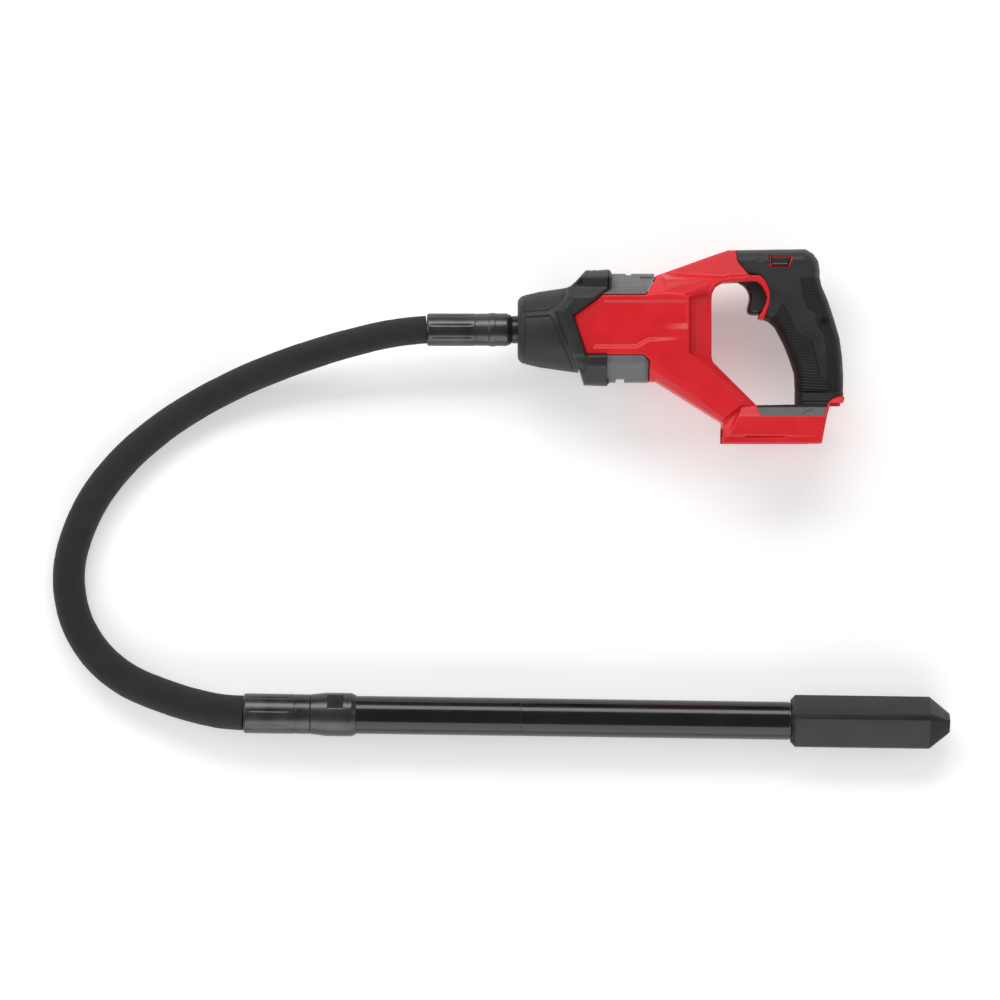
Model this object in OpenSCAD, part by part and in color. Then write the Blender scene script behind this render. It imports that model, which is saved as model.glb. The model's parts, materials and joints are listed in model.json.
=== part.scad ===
// Battery concrete vibrator: a D-handled motor unit drives a flexible core through a hose to a
// rigid wand with a square vibrating head. It lies on its side: +Z up, the floor at Z = 0,
// the motor axis along X and the handle's top towards +Y. Millimetres.

/* [Motor unit] */
// Offset along X from the rest face to the motor unit's own datum
tool_x = 20; // [19:0.5:21]
// Height of the motor axis over the floor, which is half the bumper's width
tool_z = 52; // [51:0.5:54]
// Half width of the barrel across its side flats
barrel_half = 46; // [44:0.5:47]
// Half width of the battery foot
foot_half = 39; // [38:0.5:40]
// Half width of the handle's hard core
core_half = 16; // [15:0.5:16.5]
// Half width of the soft grip
grip_half = 20; // [19.5:0.5:21]
// Wall thickness of the mouldings
wall = 3; // [2.5:0.25:3.5]

/* [Motor] */
// Outer radius of the stator
stator_r = 36; // [34:0.5:36]
// Outer radius of the rotor magnets
rotor_r = 18.8; // [17:0.1:19]
// Number of stator teeth and coils
teeth = 12; // [6:3:12]
// Number of fan blades
fan_blades = 13; // [9:1:17]

/* [Controls] */
// Travel of the trigger
trigger_travel = 7; // [5:0.5:8]
// Half width of the trigger
trigger_half = 10.5; // [9:0.5:11]
// Travel of the lock-off button
lock_travel = 4; // [3:0.5:4]

/* [Hose] */
// Radius of the hose where it leaves the motor unit
hose_r_tool = 13.2; // [13:0.1:14]
// Radius of the hose where it enters the wand
hose_r_head = 16.6; // [15:0.1:16.8]
// Radius of the flexible core
core_r = 5; // [4:0.5:5.5]
// Radius of the hose's bore
hose_bore_r = 7; // [6:0.5:8]

/* [Wand] */
// Angle of the wand to the X axis
wand_heading = -0.8; // [-1:0.1:0]
// Radius of the rigid pipe
pipe_r = 18; // [17:0.5:18.5]
// Radius of the pipe's bore
pipe_bore_r = 15.5; // [15:0.1:15.6]
// Width of the head across its flats
head_across = 39; // [38:0.5:40]
// Leg of the chamfer along the head's edges
head_chamfer = 4.1; // [3:0.1:5]
// Roll of the head about the wand's axis
head_roll = 31; // [29:0.5:32]
// Length of the head
head_length = 150.5; // [140:0.5:151]
// Radius of the rotating shaft in the wand
shaft_r = 6; // [5:0.5:6.5]

/* [Hidden] */
$fn = 64;

// Small gaps: between mouldings that touch, of running fits, and past a face for a clean cut
gap = 0.3;
run_gap = 0.05;
past = 1;
big = 70;

// Side outline of the moulded housing in X and Y, without the grip's rubber
housing_outline = [
    [134.5, 74], [127, 74], [111, 68.5], [61, 50.5], [58.5, 49.5], [57.5, 45], [49.5, 31.3],
    [8.5, 31.3], [-18, 12], [-6, -24.2], [47, -24.2], [53, -29.6], [52.8, -49], [60, -49],
    [121.5, -87.5], [121, -107], [213.5, -107], [218, -84], [222, -69], [234, -69],
    [235.5, -64.5], [235, -59.5], [232, -59.5], [232.3, -44], [231.3, -26.5], [229, -9],
    [223.6, 10], [218.5, 25], [212, 40.5], [210.5, 48], [210.5, 55.3], [209, 63], [205, 68.7],
    [199, 72.3], [134.5, 71]
];
// The opening of the D-handle
opening_outline = [
    [122, 43.8], [115, 39.5], [111.5, 33], [111, 26], [111, -26], [112.5, -31], [153, -71.5],
    [189, -70.5], [190, -58], [189, -41.5], [185.5, -30.5], [179.5, -15], [171, 1.5],
    [165.5, 6.5], [160, 9], [156, 9.8], [156, 12.5], [159, 17.4], [162.2, 24], [163.4, 29.2],
    [161.7, 34.7], [158, 41], [153.6, 44.7], [136, 44.5]
];
// Area of the soft grip
grip_outline = [
    [134.5, 74], [136, 64], [145, 52], [148, 50.3], [157, 50], [162.2, 44.4], [165.8, 35.2],
    [165.8, 25], [163.4, 18.4], [160, 9], [165.5, 6.5], [171, 1.5], [179.5, -15],
    [185.5, -30.5], [189, -41.5], [190, -58.5], [235, -59.5], [235.5, -44], [234.5, -26],
    [232, -8], [226.5, 11], [221.5, 26], [215, 41.5], [213.5, 48.5], [213.5, 55.5],
    [212, 64.5], [207, 71.5], [200, 75.5]
];
// Area of the hard core inside the grip
core_outline = [
    [134, 71], [199, 72.3], [205, 68.7], [209, 63], [210.5, 55.3], [210.5, 48], [212, 40.5],
    [218.5, 25], [223.6, 10], [229, -9], [231.3, -26.5], [232.3, -44], [232, -72], [193, -72],
    [193, -58], [192, -41], [188.7, -29.5], [182.5, -13.5], [173.5, 2.5], [166, 10],
    [155, 9], [150, 44], [134, 46]
];
// Area of the band that frames the trigger
guard_outline = [
    [130, 40], [150, 40], [154, 8], [160, 9], [163.4, 18.4], [165.8, 25], [165.8, 35.2],
    [162.2, 44.4], [157, 50], [148, 50.3], [130, 52]
];
// Areas of the two arms, the web between them and the battery foot
upper_arm_area = [
    [45, 22], [90, 27], [111, 32.5], [118, 38], [140, 38], [148, 50.3], [145, 52], [136, 64],
    [134.5, 80], [45, 80]
];
lower_arm_area = [
    [45, -20], [90, -24], [111, -27.5], [118, -30], [160, -72], [150, -95], [121, -95], [45, -60]
];
web_area = [[88, -40], [112, -40], [112, 45], [88, 45]];
foot_area = [[140.5, -71], [129.5, -88.5], [120, -88.5], [120, -108], [240, -108], [240, -59.5],
    [190, -59.5], [189, -70.5]];
// Area of the dark skirt at the handle's base and along the foot
skirt_outline = [
    [189.5, -59.5], [240, -59.5], [240, -63.5], [233, -64], [221, -70.5], [218.5, -75],
    [216.4, -82], [158.7, -82], [154.5, -78], [153.8, -70.5], [189, -69.5]
];
// Sunk panel on the barrel's side
panel_outline = [
    [-6, 9.5], [9, 21.5], [84, 21.5], [84, -6], [62, -8], [51, -16], [3, -16]
];
// Area of the grey frame above and below the side panels
frame_top_area = [[-8.5, 31.6], [49.3, 31.6], [57.1, 45.2], [58, 49.7], [58, 54], [-8.5, 54]];
frame_bottom_area = [
    [-8.5, -24.6], [46.8, -24.6], [52.6, -29.9], [52.4, -52], [-8.5, -52]
];
// Area of the rubber bumper, with its arrow-shaped sides
bumper_area = [
    [-15.5, 39.5], [-8.5, 56], [16, 56], [18, 51.5], [16.5, 40], [15.5, 37.2], [7.5, 31.6],
    [-18.4, 12.1], [-6.4, -24.6], [13.5, -24.6], [13.5, -48.5], [15.5, -54], [-8.5, -54],
    [-14.5, -36], [-14.5, -30.5], [-33.5, 17.5], [-23.5, 29.5], [-21, 39.5]
];
// Half sections of the barrel and of the bumper in Y and Z, as [height, half width]
barrel_section = [[50.5, 20], [38.5, 38], [31.3, barrel_half], [-24.2, barrel_half],
    [-29.6, 40.5], [-49.3, 20]];
frame_section = [[52, 20], [38.8, 38.5], [31.3, barrel_half], [-24.2, barrel_half],
    [-29.6, 40.8], [-49.6, 20.4]];
bumper_section = [[55, 22], [42, 42], [33, tool_z], [-27, tool_z], [-33, 46], [-52.7, 22]];
foot_section = [[-59, 22], [-69, 27], [-72, 30], [-81.5, foot_half], [-107, foot_half - 1.5]];

// Trigger: its front face curls under the finger
trigger_outline = [
    [136.6, 43.7], [142, 40.8], [145.6, 36], [147, 30], [146.4, 25], [144.6, 19.5], [145, 16],
    [147.6, 13.6], [170, 13.2], [170, 43.7]
];
lock_outline = [[166.5, 68], [186.5, 68], [183, 59], [167.2, 59]];
stem_r = 3;

// Housing screws along Z, as [x, y], entered from the right; the grip's own screw is entered from the left
grip_back_spot = [199, 61];
screw_spots = [[118, 56], [103, -52], [131, -82.5], [211.5, -92], grip_back_spot, [83, 41], [83, -39]];
grip_screw_spot = [216.7, 7.7];
boss_r = 7;
screw_head_r = 4;
screw_shank_r = 2;
screw_seat = 15;
screw_tip = 13;

// Stations along the motor axis
nose_front = -70;
frame_front = -13.7;
frame_back = 0;
core_x0 = 16;
core_x1 = 58;
fan_x0 = 64;
fan_x1 = 74;
wall_x0 = 78;
wall_x1 = 88;
boss_x1 = 90;
front_bearing_r = 16;
rear_bearing_r = 11;
nose_screw_ring = 32.8;

// The three motor leads pass the bearing wall on this ring, at these angles about the axis
lead_r = 1.6;
lead_sides = 8;
lead_ring = 40;
lead_angles = [141, 148, 155];

// Stations along the wand, from the hose's end
ferrule_end = 63;
adapter_end = 106;
pipe_seam = 261;
flat_angle = 48;
flat_reach = 18.7;
pipe_end = 514;
head_start = 515;
head_bore_r = 14.5;
coupling_x0 = 492;
coupling_x1 = 545;
head_bore_end = 655;
tip_length = 19.5;
tip_half = 6.5;

// Height of the wand's axis: the rolled head rests on the edge of one chamfer
head_half = head_across / 2;
head_corner = norm([head_half, head_half - head_chamfer]);
head_corner_angle = atan((head_half - head_chamfer) / head_half);
wand_z = head_corner * cos(head_corner_angle - head_roll);
wand_start = [-308, -360.7];

// Hose route on plan with the height of its underside over the floor
hose_route = [
    [-135, 0, 38.8], [-158, -2, 38.3], [-181, -6, 36], [-203.5, -11.5, 32], [-225.5, -17.5, 27],
    [-247, -24, 21.8], [-268.5, -31.5, 16.6], [-289.5, -39.5, 11.8], [-311, -48.5, 7.6],
    [-331.5, -58.5, 4.2], [-351.5, -69.5, 1.8], [-371, -81.5, 0.4], [-389.5, -94.5, 0],
    [-407, -109, 0], [-423.5, -125, 0], [-438.5, -142.5, 0], [-452, -162.5, 0], [-463, -186, 0],
    [-471, -210.5, 0], [-473.5, -234, 0], [-471, -257, 0], [-464, -279, 0], [-452.5, -299, 0],
    [-437, -316, 0], [-418.5, -329.5, 0.2], [-397.5, -339.5, 1], [-375.5, -347.5, 2.6],
    [-353, -354, 4.8], [-330.5, -358.7, 6.9], [wand_start[0], wand_start[1], wand_z - hose_r_head]
];
hose_steps = 2;
hose_sides = 12;
hose_first_dir = [-1, 0, 0];
hose_last_dir = [cos(wand_heading), sin(wand_heading), 0];

// ---- curves and sweeps ----

function unit(v) = v / norm(v);

function mix(a, b, t) = a + (b - a) * t;

// Point i of a list, carried on in a straight line past both ends
function past_end(pts, i) =
    i < 0 ? 2 * pts[0] - pts[-i] :
    i > len(pts) - 1 ? 2 * pts[len(pts) - 1] - pts[2 * len(pts) - 2 - i] : pts[i];

// Catmull-Rom curve through the points
function spline_point(p0, p1, p2, p3, t) =
    0.5 * (2 * p1 + (p2 - p0) * t + (2 * p0 - 5 * p1 + 4 * p2 - p3) * t * t
        + (3 * p1 - p0 - 3 * p2 + p3) * t * t * t);

function spline(pts, steps) = [
    for (i = [0 : len(pts) - 2])
        for (k = [0 : steps - 1])
            spline_point(past_end(pts, i - 1), pts[i], pts[i + 1], past_end(pts, i + 2), k / steps),
    pts[len(pts) - 1]
];

// Tangent at point i, with given directions at both ends
function tangent(path, i, first, last) =
    i == 0 ? first : i == len(path) - 1 ? last : unit(path[i + 1] - path[i - 1]);

// Points of a ring square to dir; lean is any direction that the path never follows
function ring(centre, dir, r, sides, lean) =
    let (side = unit(cross(dir, lean)), up = cross(side, dir))
    [for (k = [0 : sides - 1]) centre + r * (cos(360 * k / sides) * up + sin(360 * k / sides) * side)];

function rings(path, radii, sides, first, last, lean) = [
    for (i = [0 : len(path) - 1])
        each ring(path[i], tangent(path, i, first, last), radii[i], sides, lean)
];

function wall_faces(count, sides, base, flip) = [
    for (i = [0 : count - 2])
        for (k = [0 : sides - 1])
            let (a = base + i * sides, b = a + sides, n = (k + 1) % sides)
            each flip ? [[a + k, b + k, b + n], [a + k, b + n, a + n]]
                : [[a + k, a + n, b + n], [a + k, b + n, b + k]]
];

// A solid rod or a tube swept along a path
module sweep(path, radii, sides, first, last, lean = [0, 0, 1]) {
    n = len(path);
    polyhedron(
        points = rings(path, radii, sides, first, last, lean),
        faces = concat(
            wall_faces(n, sides, 0, false),
            [[for (k = [sides - 1 : -1 : 0]) k], [for (k = [0 : sides - 1]) (n - 1) * sides + k]]
        ),
        convexity = 6
    );
}

module sweep_tube(path, radii, bore_r, sides, first, last, lean = [0, 0, 1]) {
    n = len(path);
    inner = n * sides;
    end = (n - 1) * sides;
    polyhedron(
        points = concat(
            rings(path, radii, sides, first, last, lean),
            rings(path, [for (p = path) bore_r], sides, first, last, lean)
        ),
        faces = concat(
            wall_faces(n, sides, 0, false),
            wall_faces(n, sides, inner, true),
            [for (k = [0 : sides - 1]) let (m = (k + 1) % sides) [k, inner + k, inner + m, m]],
            [for (k = [0 : sides - 1]) let (m = (k + 1) % sides)
                [end + k, end + m, inner + end + m, inner + end + k]]
        ),
        convexity = 8
    );
}

hose_plan = spline(hose_route, hose_steps);
hose_last = len(hose_plan) - 1;
hose_radii = [for (i = [0 : hose_last]) mix(hose_r_tool, hose_r_head, i / hose_last)];
hose_path = [
    for (i = [0 : hose_last]) [hose_plan[i][0], hose_plan[i][1], max(0, hose_plan[i][2]) + hose_radii[i]]
];

// ---- placing and simple forms ----

module on_tool() {
    translate([tool_x, 0, tool_z]) children();
}

module on_wand() {
    translate([wand_start[0], wand_start[1], wand_z]) rotate([0, 0, wand_heading]) children();
}

// A polygon in X and Y, made to the given half width
module slab(points, half) {
    linear_extrude(height = 2 * half, center = true) polygon(points);
}

// The same, moved inwards all round
module inset_slab(points, half, inset) {
    linear_extrude(height = 2 * half, center = true) offset(delta = -inset) polygon(points);
}

module x_rod(r, x0, x1) {
    translate([x0, 0, 0]) rotate([0, 90, 0]) cylinder(h = x1 - x0, r = r);
}

module x_tube(r, bore_r, x0, x1) {
    difference() {
        x_rod(r, x0, x1);
        x_rod(bore_r, x0 - past, x1 + past);
    }
}

// A turned form about the X axis from [x, r] points
module x_turn(profile) {
    rotate([0, 90, 0]) rotate_extrude() polygon([for (p = profile) [p[1], p[0]]]);
}

// A section given as [y, half z] points down one side, carried along X
module x_prism(section, x0, x1, inset = 0) {
    n = len(section);
    both = concat(section, [for (i = [n - 1 : -1 : 0]) [section[i][0], -section[i][1]]]);
    translate([x0, 0, 0]) rotate([90, 0, 90]) linear_extrude(height = x1 - x0)
        offset(delta = -inset) polygon(both);
}

module block(x, y, z) {
    translate([x[0], y[0], z[0]]) cube([x[1] - x[0], y[1] - y[0], z[1] - z[0]]);
}

module left_side() {
    intersection() {
        children();
        block([-100, 300], [-150, 150], [0, 100]);
    }
}

module right_side() {
    intersection() {
        children();
        block([-100, 300], [-150, 150], [-100, 0]);
    }
}

// ---- housing forms; inset 0 is the outside and inset = wall the cavity ----

// Plan outline in X and Z that narrows an arm
module plan_taper(points, inset) {
    both = concat(points, [for (i = [len(points) - 1 : -1 : 0]) [points[i][0], -points[i][1]]]);
    rotate([90, 0, 0]) linear_extrude(height = 400, center = true)
        offset(delta = -inset) polygon(both);
}

upper_slope = 19.8;
lower_slope = -32;
upper_section = [[8, 6], [2.5, 24], [-10, 52], [-90, 60]];
lower_section = [[90, 60], [0, 60], [-2, 40], [-12, 28]];

module upper_arm(inset) {
    intersection() {
        inset_slab(upper_arm_area, big, inset);
        plan_taper([[40, barrel_half - 0.4], [90, barrel_half - 0.4], [133, 22], [150, 20]], inset);
        translate([60, 45, 0]) rotate([0, 0, upper_slope]) x_prism(upper_section, -60, 120, inset);
    }
}

module lower_arm(inset) {
    intersection() {
        inset_slab(lower_arm_area, big, inset);
        plan_taper([[40, barrel_half - 0.4], [90, barrel_half - 0.4], [124, 34], [170, 34]], inset);
        translate([60, -41, 0]) rotate([0, 0, lower_slope]) x_prism(lower_section, -60, 130, inset);
    }
}

module foot_form(inset) {
    intersection() {
        inset_slab(foot_area, big, inset);
        x_prism(foot_section, 100, 250, inset);
    }
}

module outside_form() {
    difference() {
        intersection() {
            slab(housing_outline, big);
            union() {
                x_prism(barrel_section, -30, 90);
                upper_arm(0);
                lower_arm(0);
                slab(web_area, 30);
                foot_form(0);
                slab(core_outline, core_half);
                slab(guard_outline, grip_half - 0.5);
            }
        }
        slab(opening_outline, big);
    }
}

// What is hollow behind the rear bearing wall, and in the motor bay ahead of it
module hollow_form() {
    difference() {
        intersection() {
            inset_slab(housing_outline, big, wall);
            union() {
                upper_arm(wall);
                lower_arm(wall);
                slab(web_area, 30 - wall);
                inset_slab(core_outline, core_half - wall, wall);
                intersection() {
                    foot_form(wall);
                    block([100, 250], [-89.5, -50], [-100, 100]);
                }
            }
        }
        block([-50, wall_x1], [-100, 100], [-100, 100]);
        linear_extrude(height = 2 * big, center = true) offset(delta = wall) polygon(opening_outline);
    }
}

module motor_bay() {
    difference() {
        x_prism(barrel_section, -40, wall_x0, wall);
        for (x = [core_x0 + 5, core_x1 - 10]) {
            x_prism(barrel_section, x, x + 4, wall - 1);
        }
    }
    x_rod(stator_r + run_gap, -40, wall_x0);
    x_rod(rear_bearing_r, wall_x0 - past, wall_x1 - 2);
    x_rod(6, wall_x0, wall_x1 + past);
    for (a = lead_angles) {
        rotate([a, 0, 0]) translate([0, lead_ring, 0])
            x_rod(lead_r + 0.8, wall_x0 - past, boss_x1 + past);
    }
}

// T-shaped channel that the battery slides into from the front
channel_x1 = 204;
channel_half = 31;
neck_half = 25;
module battery_channel() {
    block([110, channel_x1], [-101.5, -93], [-channel_half, channel_half]);
    block([110, channel_x1], [-110, -101], [-neck_half, neck_half]);
    block([167.8, 198.2], [-94, -88], [-14.2, 14.2]);
}

module trigger_pocket() {
    block([150, 175 + trigger_travel], [11.5, 46.5], [-trigger_half - 0.5, trigger_half + 0.5]);
}

module lock_hole() {
    linear_extrude(height = 2 * big, center = true) offset(delta = gap) polygon(lock_outline);
}

module screw_bosses() {
    intersection() {
        outside_form();
        union() {
            for (p = screw_spots) {
                translate([p[0], p[1], -big]) cylinder(h = 2 * big, r = boss_r);
            }
            translate([grip_screw_spot[0], grip_screw_spot[1], -big]) cylinder(h = 2 * big, r = boss_r - 1);
        }
    }
}

module screw_hole() {
    translate([0, 0, -big]) cylinder(h = big - screw_seat + 3, r = screw_head_r + gap);
    translate([0, 0, -screw_seat]) cylinder(h = screw_seat + screw_tip, r = screw_shank_r + run_gap);
}

module screw_holes() {
    for (p = screw_spots) {
        translate([p[0], p[1], 0]) screw_hole();
    }
    translate([grip_screw_spot[0], grip_screw_spot[1], 0]) mirror([0, 0, 1]) screw_hole();
}

module sunk_skirt() {
    difference() {
        slab(skirt_outline, big);
        foot_form(2);
        slab(core_outline, core_half);
    }
}

module housing() {
    difference() {
        union() {
            difference() {
                outside_form();
                hollow_form();
            }
            screw_bosses();
        }
        motor_bay();
        battery_channel();
        trigger_pocket();
        lock_hole();
        screw_holes();
        sunk_skirt();
        for (side = [-1, 1]) {
            translate([0, 0, side * barrel_half]) slab(panel_outline, 1.4);
            translate([0, 0, side * foot_half]) block([142, 180], [-101.2, -100.2], [-1.4, 1.4]);
        }
    }
}

module left_housing() {
    color("firebrick") on_tool() left_side() housing();
}

module right_housing() {
    color("firebrick") on_tool() right_side() housing();
}

// ---- grip and skirts ----

module grip() {
    difference() {
        union() {
            slab(grip_outline, grip_half - 6);
            inset_slab(grip_outline, grip_half - 3, 1);
            inset_slab(grip_outline, grip_half - 1, 2.8);
            inset_slab(grip_outline, grip_half, 5);
        }
        slab(core_outline, core_half);
        intersection() {
            slab(guard_outline, big);
            slab(housing_outline, big);
        }
        lock_hole();
        translate([grip_screw_spot[0], grip_screw_spot[1], 0])
            cylinder(h = big, r = screw_head_r + gap);
        translate([grip_back_spot[0], grip_back_spot[1], -big])
            cylinder(h = big, r = screw_head_r + gap);
    }
}

module left_grip() {
    color("dimgray") on_tool() left_side() grip();
}

module right_grip() {
    color("dimgray") on_tool() right_side() grip();
}

module skirt() {
    intersection() {
        difference() {
            intersection() {
                foot_form(0);
                slab(housing_outline, big);
            }
            foot_form(2);
            slab(opening_outline, big);
            slab([[180, -59], [240, -59], [240, -68], [228, -72], [180, -72]], core_half);
        }
        slab(skirt_outline, big);
    }
}

module left_skirt() {
    color("gray") on_tool() left_side() skirt();
}

module right_skirt() {
    color("gray") on_tool() right_side() skirt();
}

// ---- front end of the motor unit ----

module frame_form() {
    intersection() {
        x_prism(frame_section, frame_front, 60);
        union() {
            slab(frame_top_area, big);
            slab(frame_bottom_area, big);
            x_prism([[40, 40], [-40, 40]], frame_front, frame_back);
        }
    }
}

module motor_frame() {
    color("slategray") on_tool() difference() {
        intersection() {
            union() {
                frame_form();
                x_tube(42, front_bearing_r, frame_front, frame_back);
            }
            x_prism(frame_section, frame_front, 60);
        }
        x_rod(stator_r + 1, frame_back, 62);
        x_rod(front_bearing_r, -10, frame_back + past);
        x_rod(12.5, frame_front - past, 0);
        for (a = [45 : 90 : 315]) {
            rotate([a, 0, 0]) translate([0, nose_screw_ring, 0])
                x_rod(screw_shank_r + run_gap, frame_front - past, frame_back + past);
        }
        // Strap slot below, and the smaller groove above
        block([21, 30], [-52, -46], [-big, big]);
        block([31, 36], [50.6, 55], [-big, big]);
        for (side = [-1, 1]) {
            translate([0, 0, side * 39]) slab([[44, 47.5], [55.5, 47.5], [49.5, 38.5]], 6);
        }
    }
}

module bumper_collar() {
    color("darkslategray") on_tool() difference() {
        intersection() {
            x_prism(bumper_section, -40, 20);
            slab(bumper_area, big);
        }
        x_prism(frame_section, frame_front - 0.05, 30);
        nose_form();
    }
}

module nose_form() {
    x_turn([[nose_front, 0], [nose_front, 26.5], [-68.5, 28.5], [-64.5, 31.5], [-50.5, 35.4],
        [-23, 39.4], [frame_front, 40.4], [frame_front, 0]]);
}

module nose_cone() {
    color("dimgray") on_tool() difference() {
        nose_form();
        x_turn([[-52, 0], [-52, 20], [-44, 25], [-28, 28], [frame_front + past, 28],
            [frame_front + past, 0]]);
        x_rod(12.7, nose_front - past, -50);
        for (a = [45 : 90 : 315]) {
            rotate([a, 0, 0]) translate([0, nose_screw_ring, 0]) x_rod(screw_shank_r, -26, 0);
        }
    }
}

module nose_screws() {
    color("black") on_tool() for (a = [45 : 90 : 315]) {
        rotate([a, 0, 0]) translate([0, nose_screw_ring, 0]) {
            x_rod(screw_shank_r - run_gap, -24, frame_back);
            difference() {
                x_rod(screw_head_r, frame_back, frame_back + 3.5);
                rotate([0, 90, 0]) translate([0, 0, frame_back + 1.5]) cylinder(h = 3, r = 2, $fn = 6);
            }
        }
    }
}

module one_screw() {
    translate([0, 0, -screw_seat]) cylinder(h = screw_seat + screw_tip - 1, r = screw_shank_r);
    difference() {
        translate([0, 0, -screw_seat]) mirror([0, 0, 1]) cylinder(h = 3, r = screw_head_r);
        translate([0, 0, -screw_seat - 4]) cylinder(h = 3, r = 2.1, $fn = 6);
    }
}

module housing_screws() {
    color("black") on_tool() {
        for (p = screw_spots) {
            translate([p[0], p[1], 0]) one_screw();
        }
        translate([grip_screw_spot[0], grip_screw_spot[1], 0]) mirror([0, 0, 1]) one_screw();
    }
}

// ---- motor ----

module around(count) {
    for (k = [0 : count - 1]) {
        rotate([k * 360 / count, 0, 0]) children();
    }
}

module stator_core() {
    color("silver") on_tool() {
        x_tube(stator_r, 28, core_x0, core_x1);
        around(teeth) block([core_x0 + 0.2, core_x1 - 0.2], [rotor_r + 0.7, 28.4], [-2.5, 2.5]);
    }
}

module stator_coils() {
    color("chocolate") on_tool() around(teeth) difference() {
        block([core_x0 - 4, core_x1 + 4], [21, 27.4], [-4.6, 4.6]);
        block([core_x0 - 0.05, core_x1 + 0.05], [20, 29], [-2.55, 2.55]);
    }
}

// Outer race and balls of a bearing, and its inner race
module bearing_outer(r, inner_r, x0, x1) {
    mid = (r + inner_r) / 2;
    ball_r = (r - inner_r) / 4;
    difference() {
        x_tube(r, mid + ball_r * 0.5, x0, x1);
        translate([(x0 + x1) / 2, 0, 0]) rotate([0, 90, 0]) rotate_extrude()
            translate([mid, 0]) circle(r = ball_r + run_gap);
    }
    around(8) translate([(x0 + x1) / 2, mid, 0]) sphere(r = ball_r - run_gap);
}

module bearing_inner(r, inner_r, x0, x1) {
    mid = (r + inner_r) / 2;
    ball_r = (r - inner_r) / 4;
    difference() {
        x_tube(mid - ball_r * 0.5, inner_r, x0, x1);
        translate([(x0 + x1) / 2, 0, 0]) rotate([0, 90, 0]) rotate_extrude()
            translate([mid, 0]) circle(r = ball_r + 2 * run_gap);
    }
}

front_shaft_r = 6;
rear_shaft_r = 4;

module front_bearing_outer() {
    color("silver") on_tool() bearing_outer(front_bearing_r, front_shaft_r, -10, 0);
}

module rear_bearing_outer() {
    color("silver") on_tool() bearing_outer(rear_bearing_r, rear_shaft_r, 79, 86);
}

module rotor_bearing_inners() {
    color("gainsboro") on_tool() {
        bearing_inner(front_bearing_r, front_shaft_r, -10, 0);
        bearing_inner(rear_bearing_r, rear_shaft_r, 79, 86);
    }
}

module rotor_shaft() {
    color("gainsboro") on_tool() {
        x_rod(front_shaft_r, -22, 2);
        x_rod(8, 2, 77);
        x_rod(rear_shaft_r, 77, 87);
    }
}

module rotor_magnets() {
    color("darkgray") on_tool() x_tube(rotor_r, 8, core_x0, core_x1);
}

module cooling_fan() {
    color("dimgray") on_tool() {
        x_tube(13, 8, fan_x0, fan_x1);
        difference() {
            x_rod(34, fan_x0, fan_x0 + 1.6);
            x_rod(12.9, fan_x0 - past, fan_x1);
        }
        around(fan_blades) translate([0, 12, 0])
            block([fan_x0 + 1.5, fan_x1], [0, 21.5], [-0.9, 0.9]);
    }
}

module drive_socket() {
    color("gainsboro") on_tool() difference() {
        x_rod(11, -44, -14);
        x_rod(front_shaft_r, -22, -13);
        block([-45, -23], [-4.2, 4.2], [-4.2, 4.2]);
    }
}

module core_drive_tip() {
    color("silver") on_tool() {
        block([-44.5, -26], [-4, 4], [-4, 4]);
        x_rod(6.4, -66, -44.2);
    }
}

// ---- electrical parts ----

module control_module() {
    color("darkslategray") on_tool() {
        block([139, 205], [-87, -84], [-26, 26]);
        for (x = [144 : 8 : 200]) {
            block([x, x + 4], [-84.1, -79], [-22, 22]);
        }
    }
}

module terminal_block() {
    color("black") on_tool() {
        block([168, 198], [-93.6, -88.2], [-14, 14]);
        for (z = [-10 : 5 : 10]) {
            block([170, 192], [-99.5, -93.5], [z - 0.5, z + 0.5]);
        }
    }
}

module lead(points) {
    path = spline(points, 2);
    n = len(path) - 1;
    sweep(path, [for (p = path) lead_r], lead_sides, unit(path[1] - path[0]), unit(path[n] - path[n - 1]));
}

// Two leads from the control module up the handle to the switch
module switch_leads() {
    color("red") on_tool() for (z = [-5, 5]) {
        lead([[205.2, -85, z], [211, -80, z], [213, -68, z], [212, -50, z], [207, -28, z],
            [202, -8, z], [198, 8, z], [196, 14.8, z]]);
    }
}

// Three leads from the control module through the lower arm and the bearing wall to the coils
module motor_leads() {
    color("goldenrod") on_tool() for (k = [-1, 0, 1]) {
        a = lead_angles[1] - k * (lead_angles[1] - lead_angles[0]);
        z = 5 * k;
        inner = [for (p = [[92, lead_ring], [76, lead_ring], [65, 39.5], [61, 37], [60.3, 29.3]])
            [p[0], p[1] * cos(a), p[1] * sin(a)]];
        lead(concat([[141.5, -83.9, z], [140, -77, z + 3], [131, -69, z + 9], [119, -56, z + 15],
            [107, -40, z + 19]], inner));
    }
}

// ---- trigger and lock button ----

switch_x0 = 186;

module trigger() {
    color("black") on_tool() {
        difference() {
            slab(trigger_outline, trigger_half);
            block([150, 171], [20, 40], [-6, 6]);
        }
        translate([0, 30, 0]) x_rod(stem_r, 149, switch_x0 + 5);
    }
}

module trigger_switch() {
    color("darkslategray") on_tool() difference() {
        block([switch_x0, 207], [15, 44], [-9, 9]);
        translate([0, 30, 0]) x_rod(stem_r + 0.08, switch_x0 - past, switch_x0 + 15);
    }
}

spring_turns = 6;
spring_r = 4.4;
spring_wire_r = 0.6;
spring_x0 = 150.8;
spring_x1 = switch_x0 - 0.7;
spring_per_turn = 14;

module trigger_spring() {
    last = spring_turns * spring_per_turn;
    path = [for (i = [0 : last]) let (a = i * 360 / spring_per_turn)
        [mix(spring_x0, spring_x1, i / last), 30 + spring_r * cos(a), spring_r * sin(a)]];
    color("silver") on_tool() sweep(path, [for (p = path) spring_wire_r], 6,
        unit(path[1] - path[0]), unit(path[last] - path[last - 1]), [1, 0, 0]);
}

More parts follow.
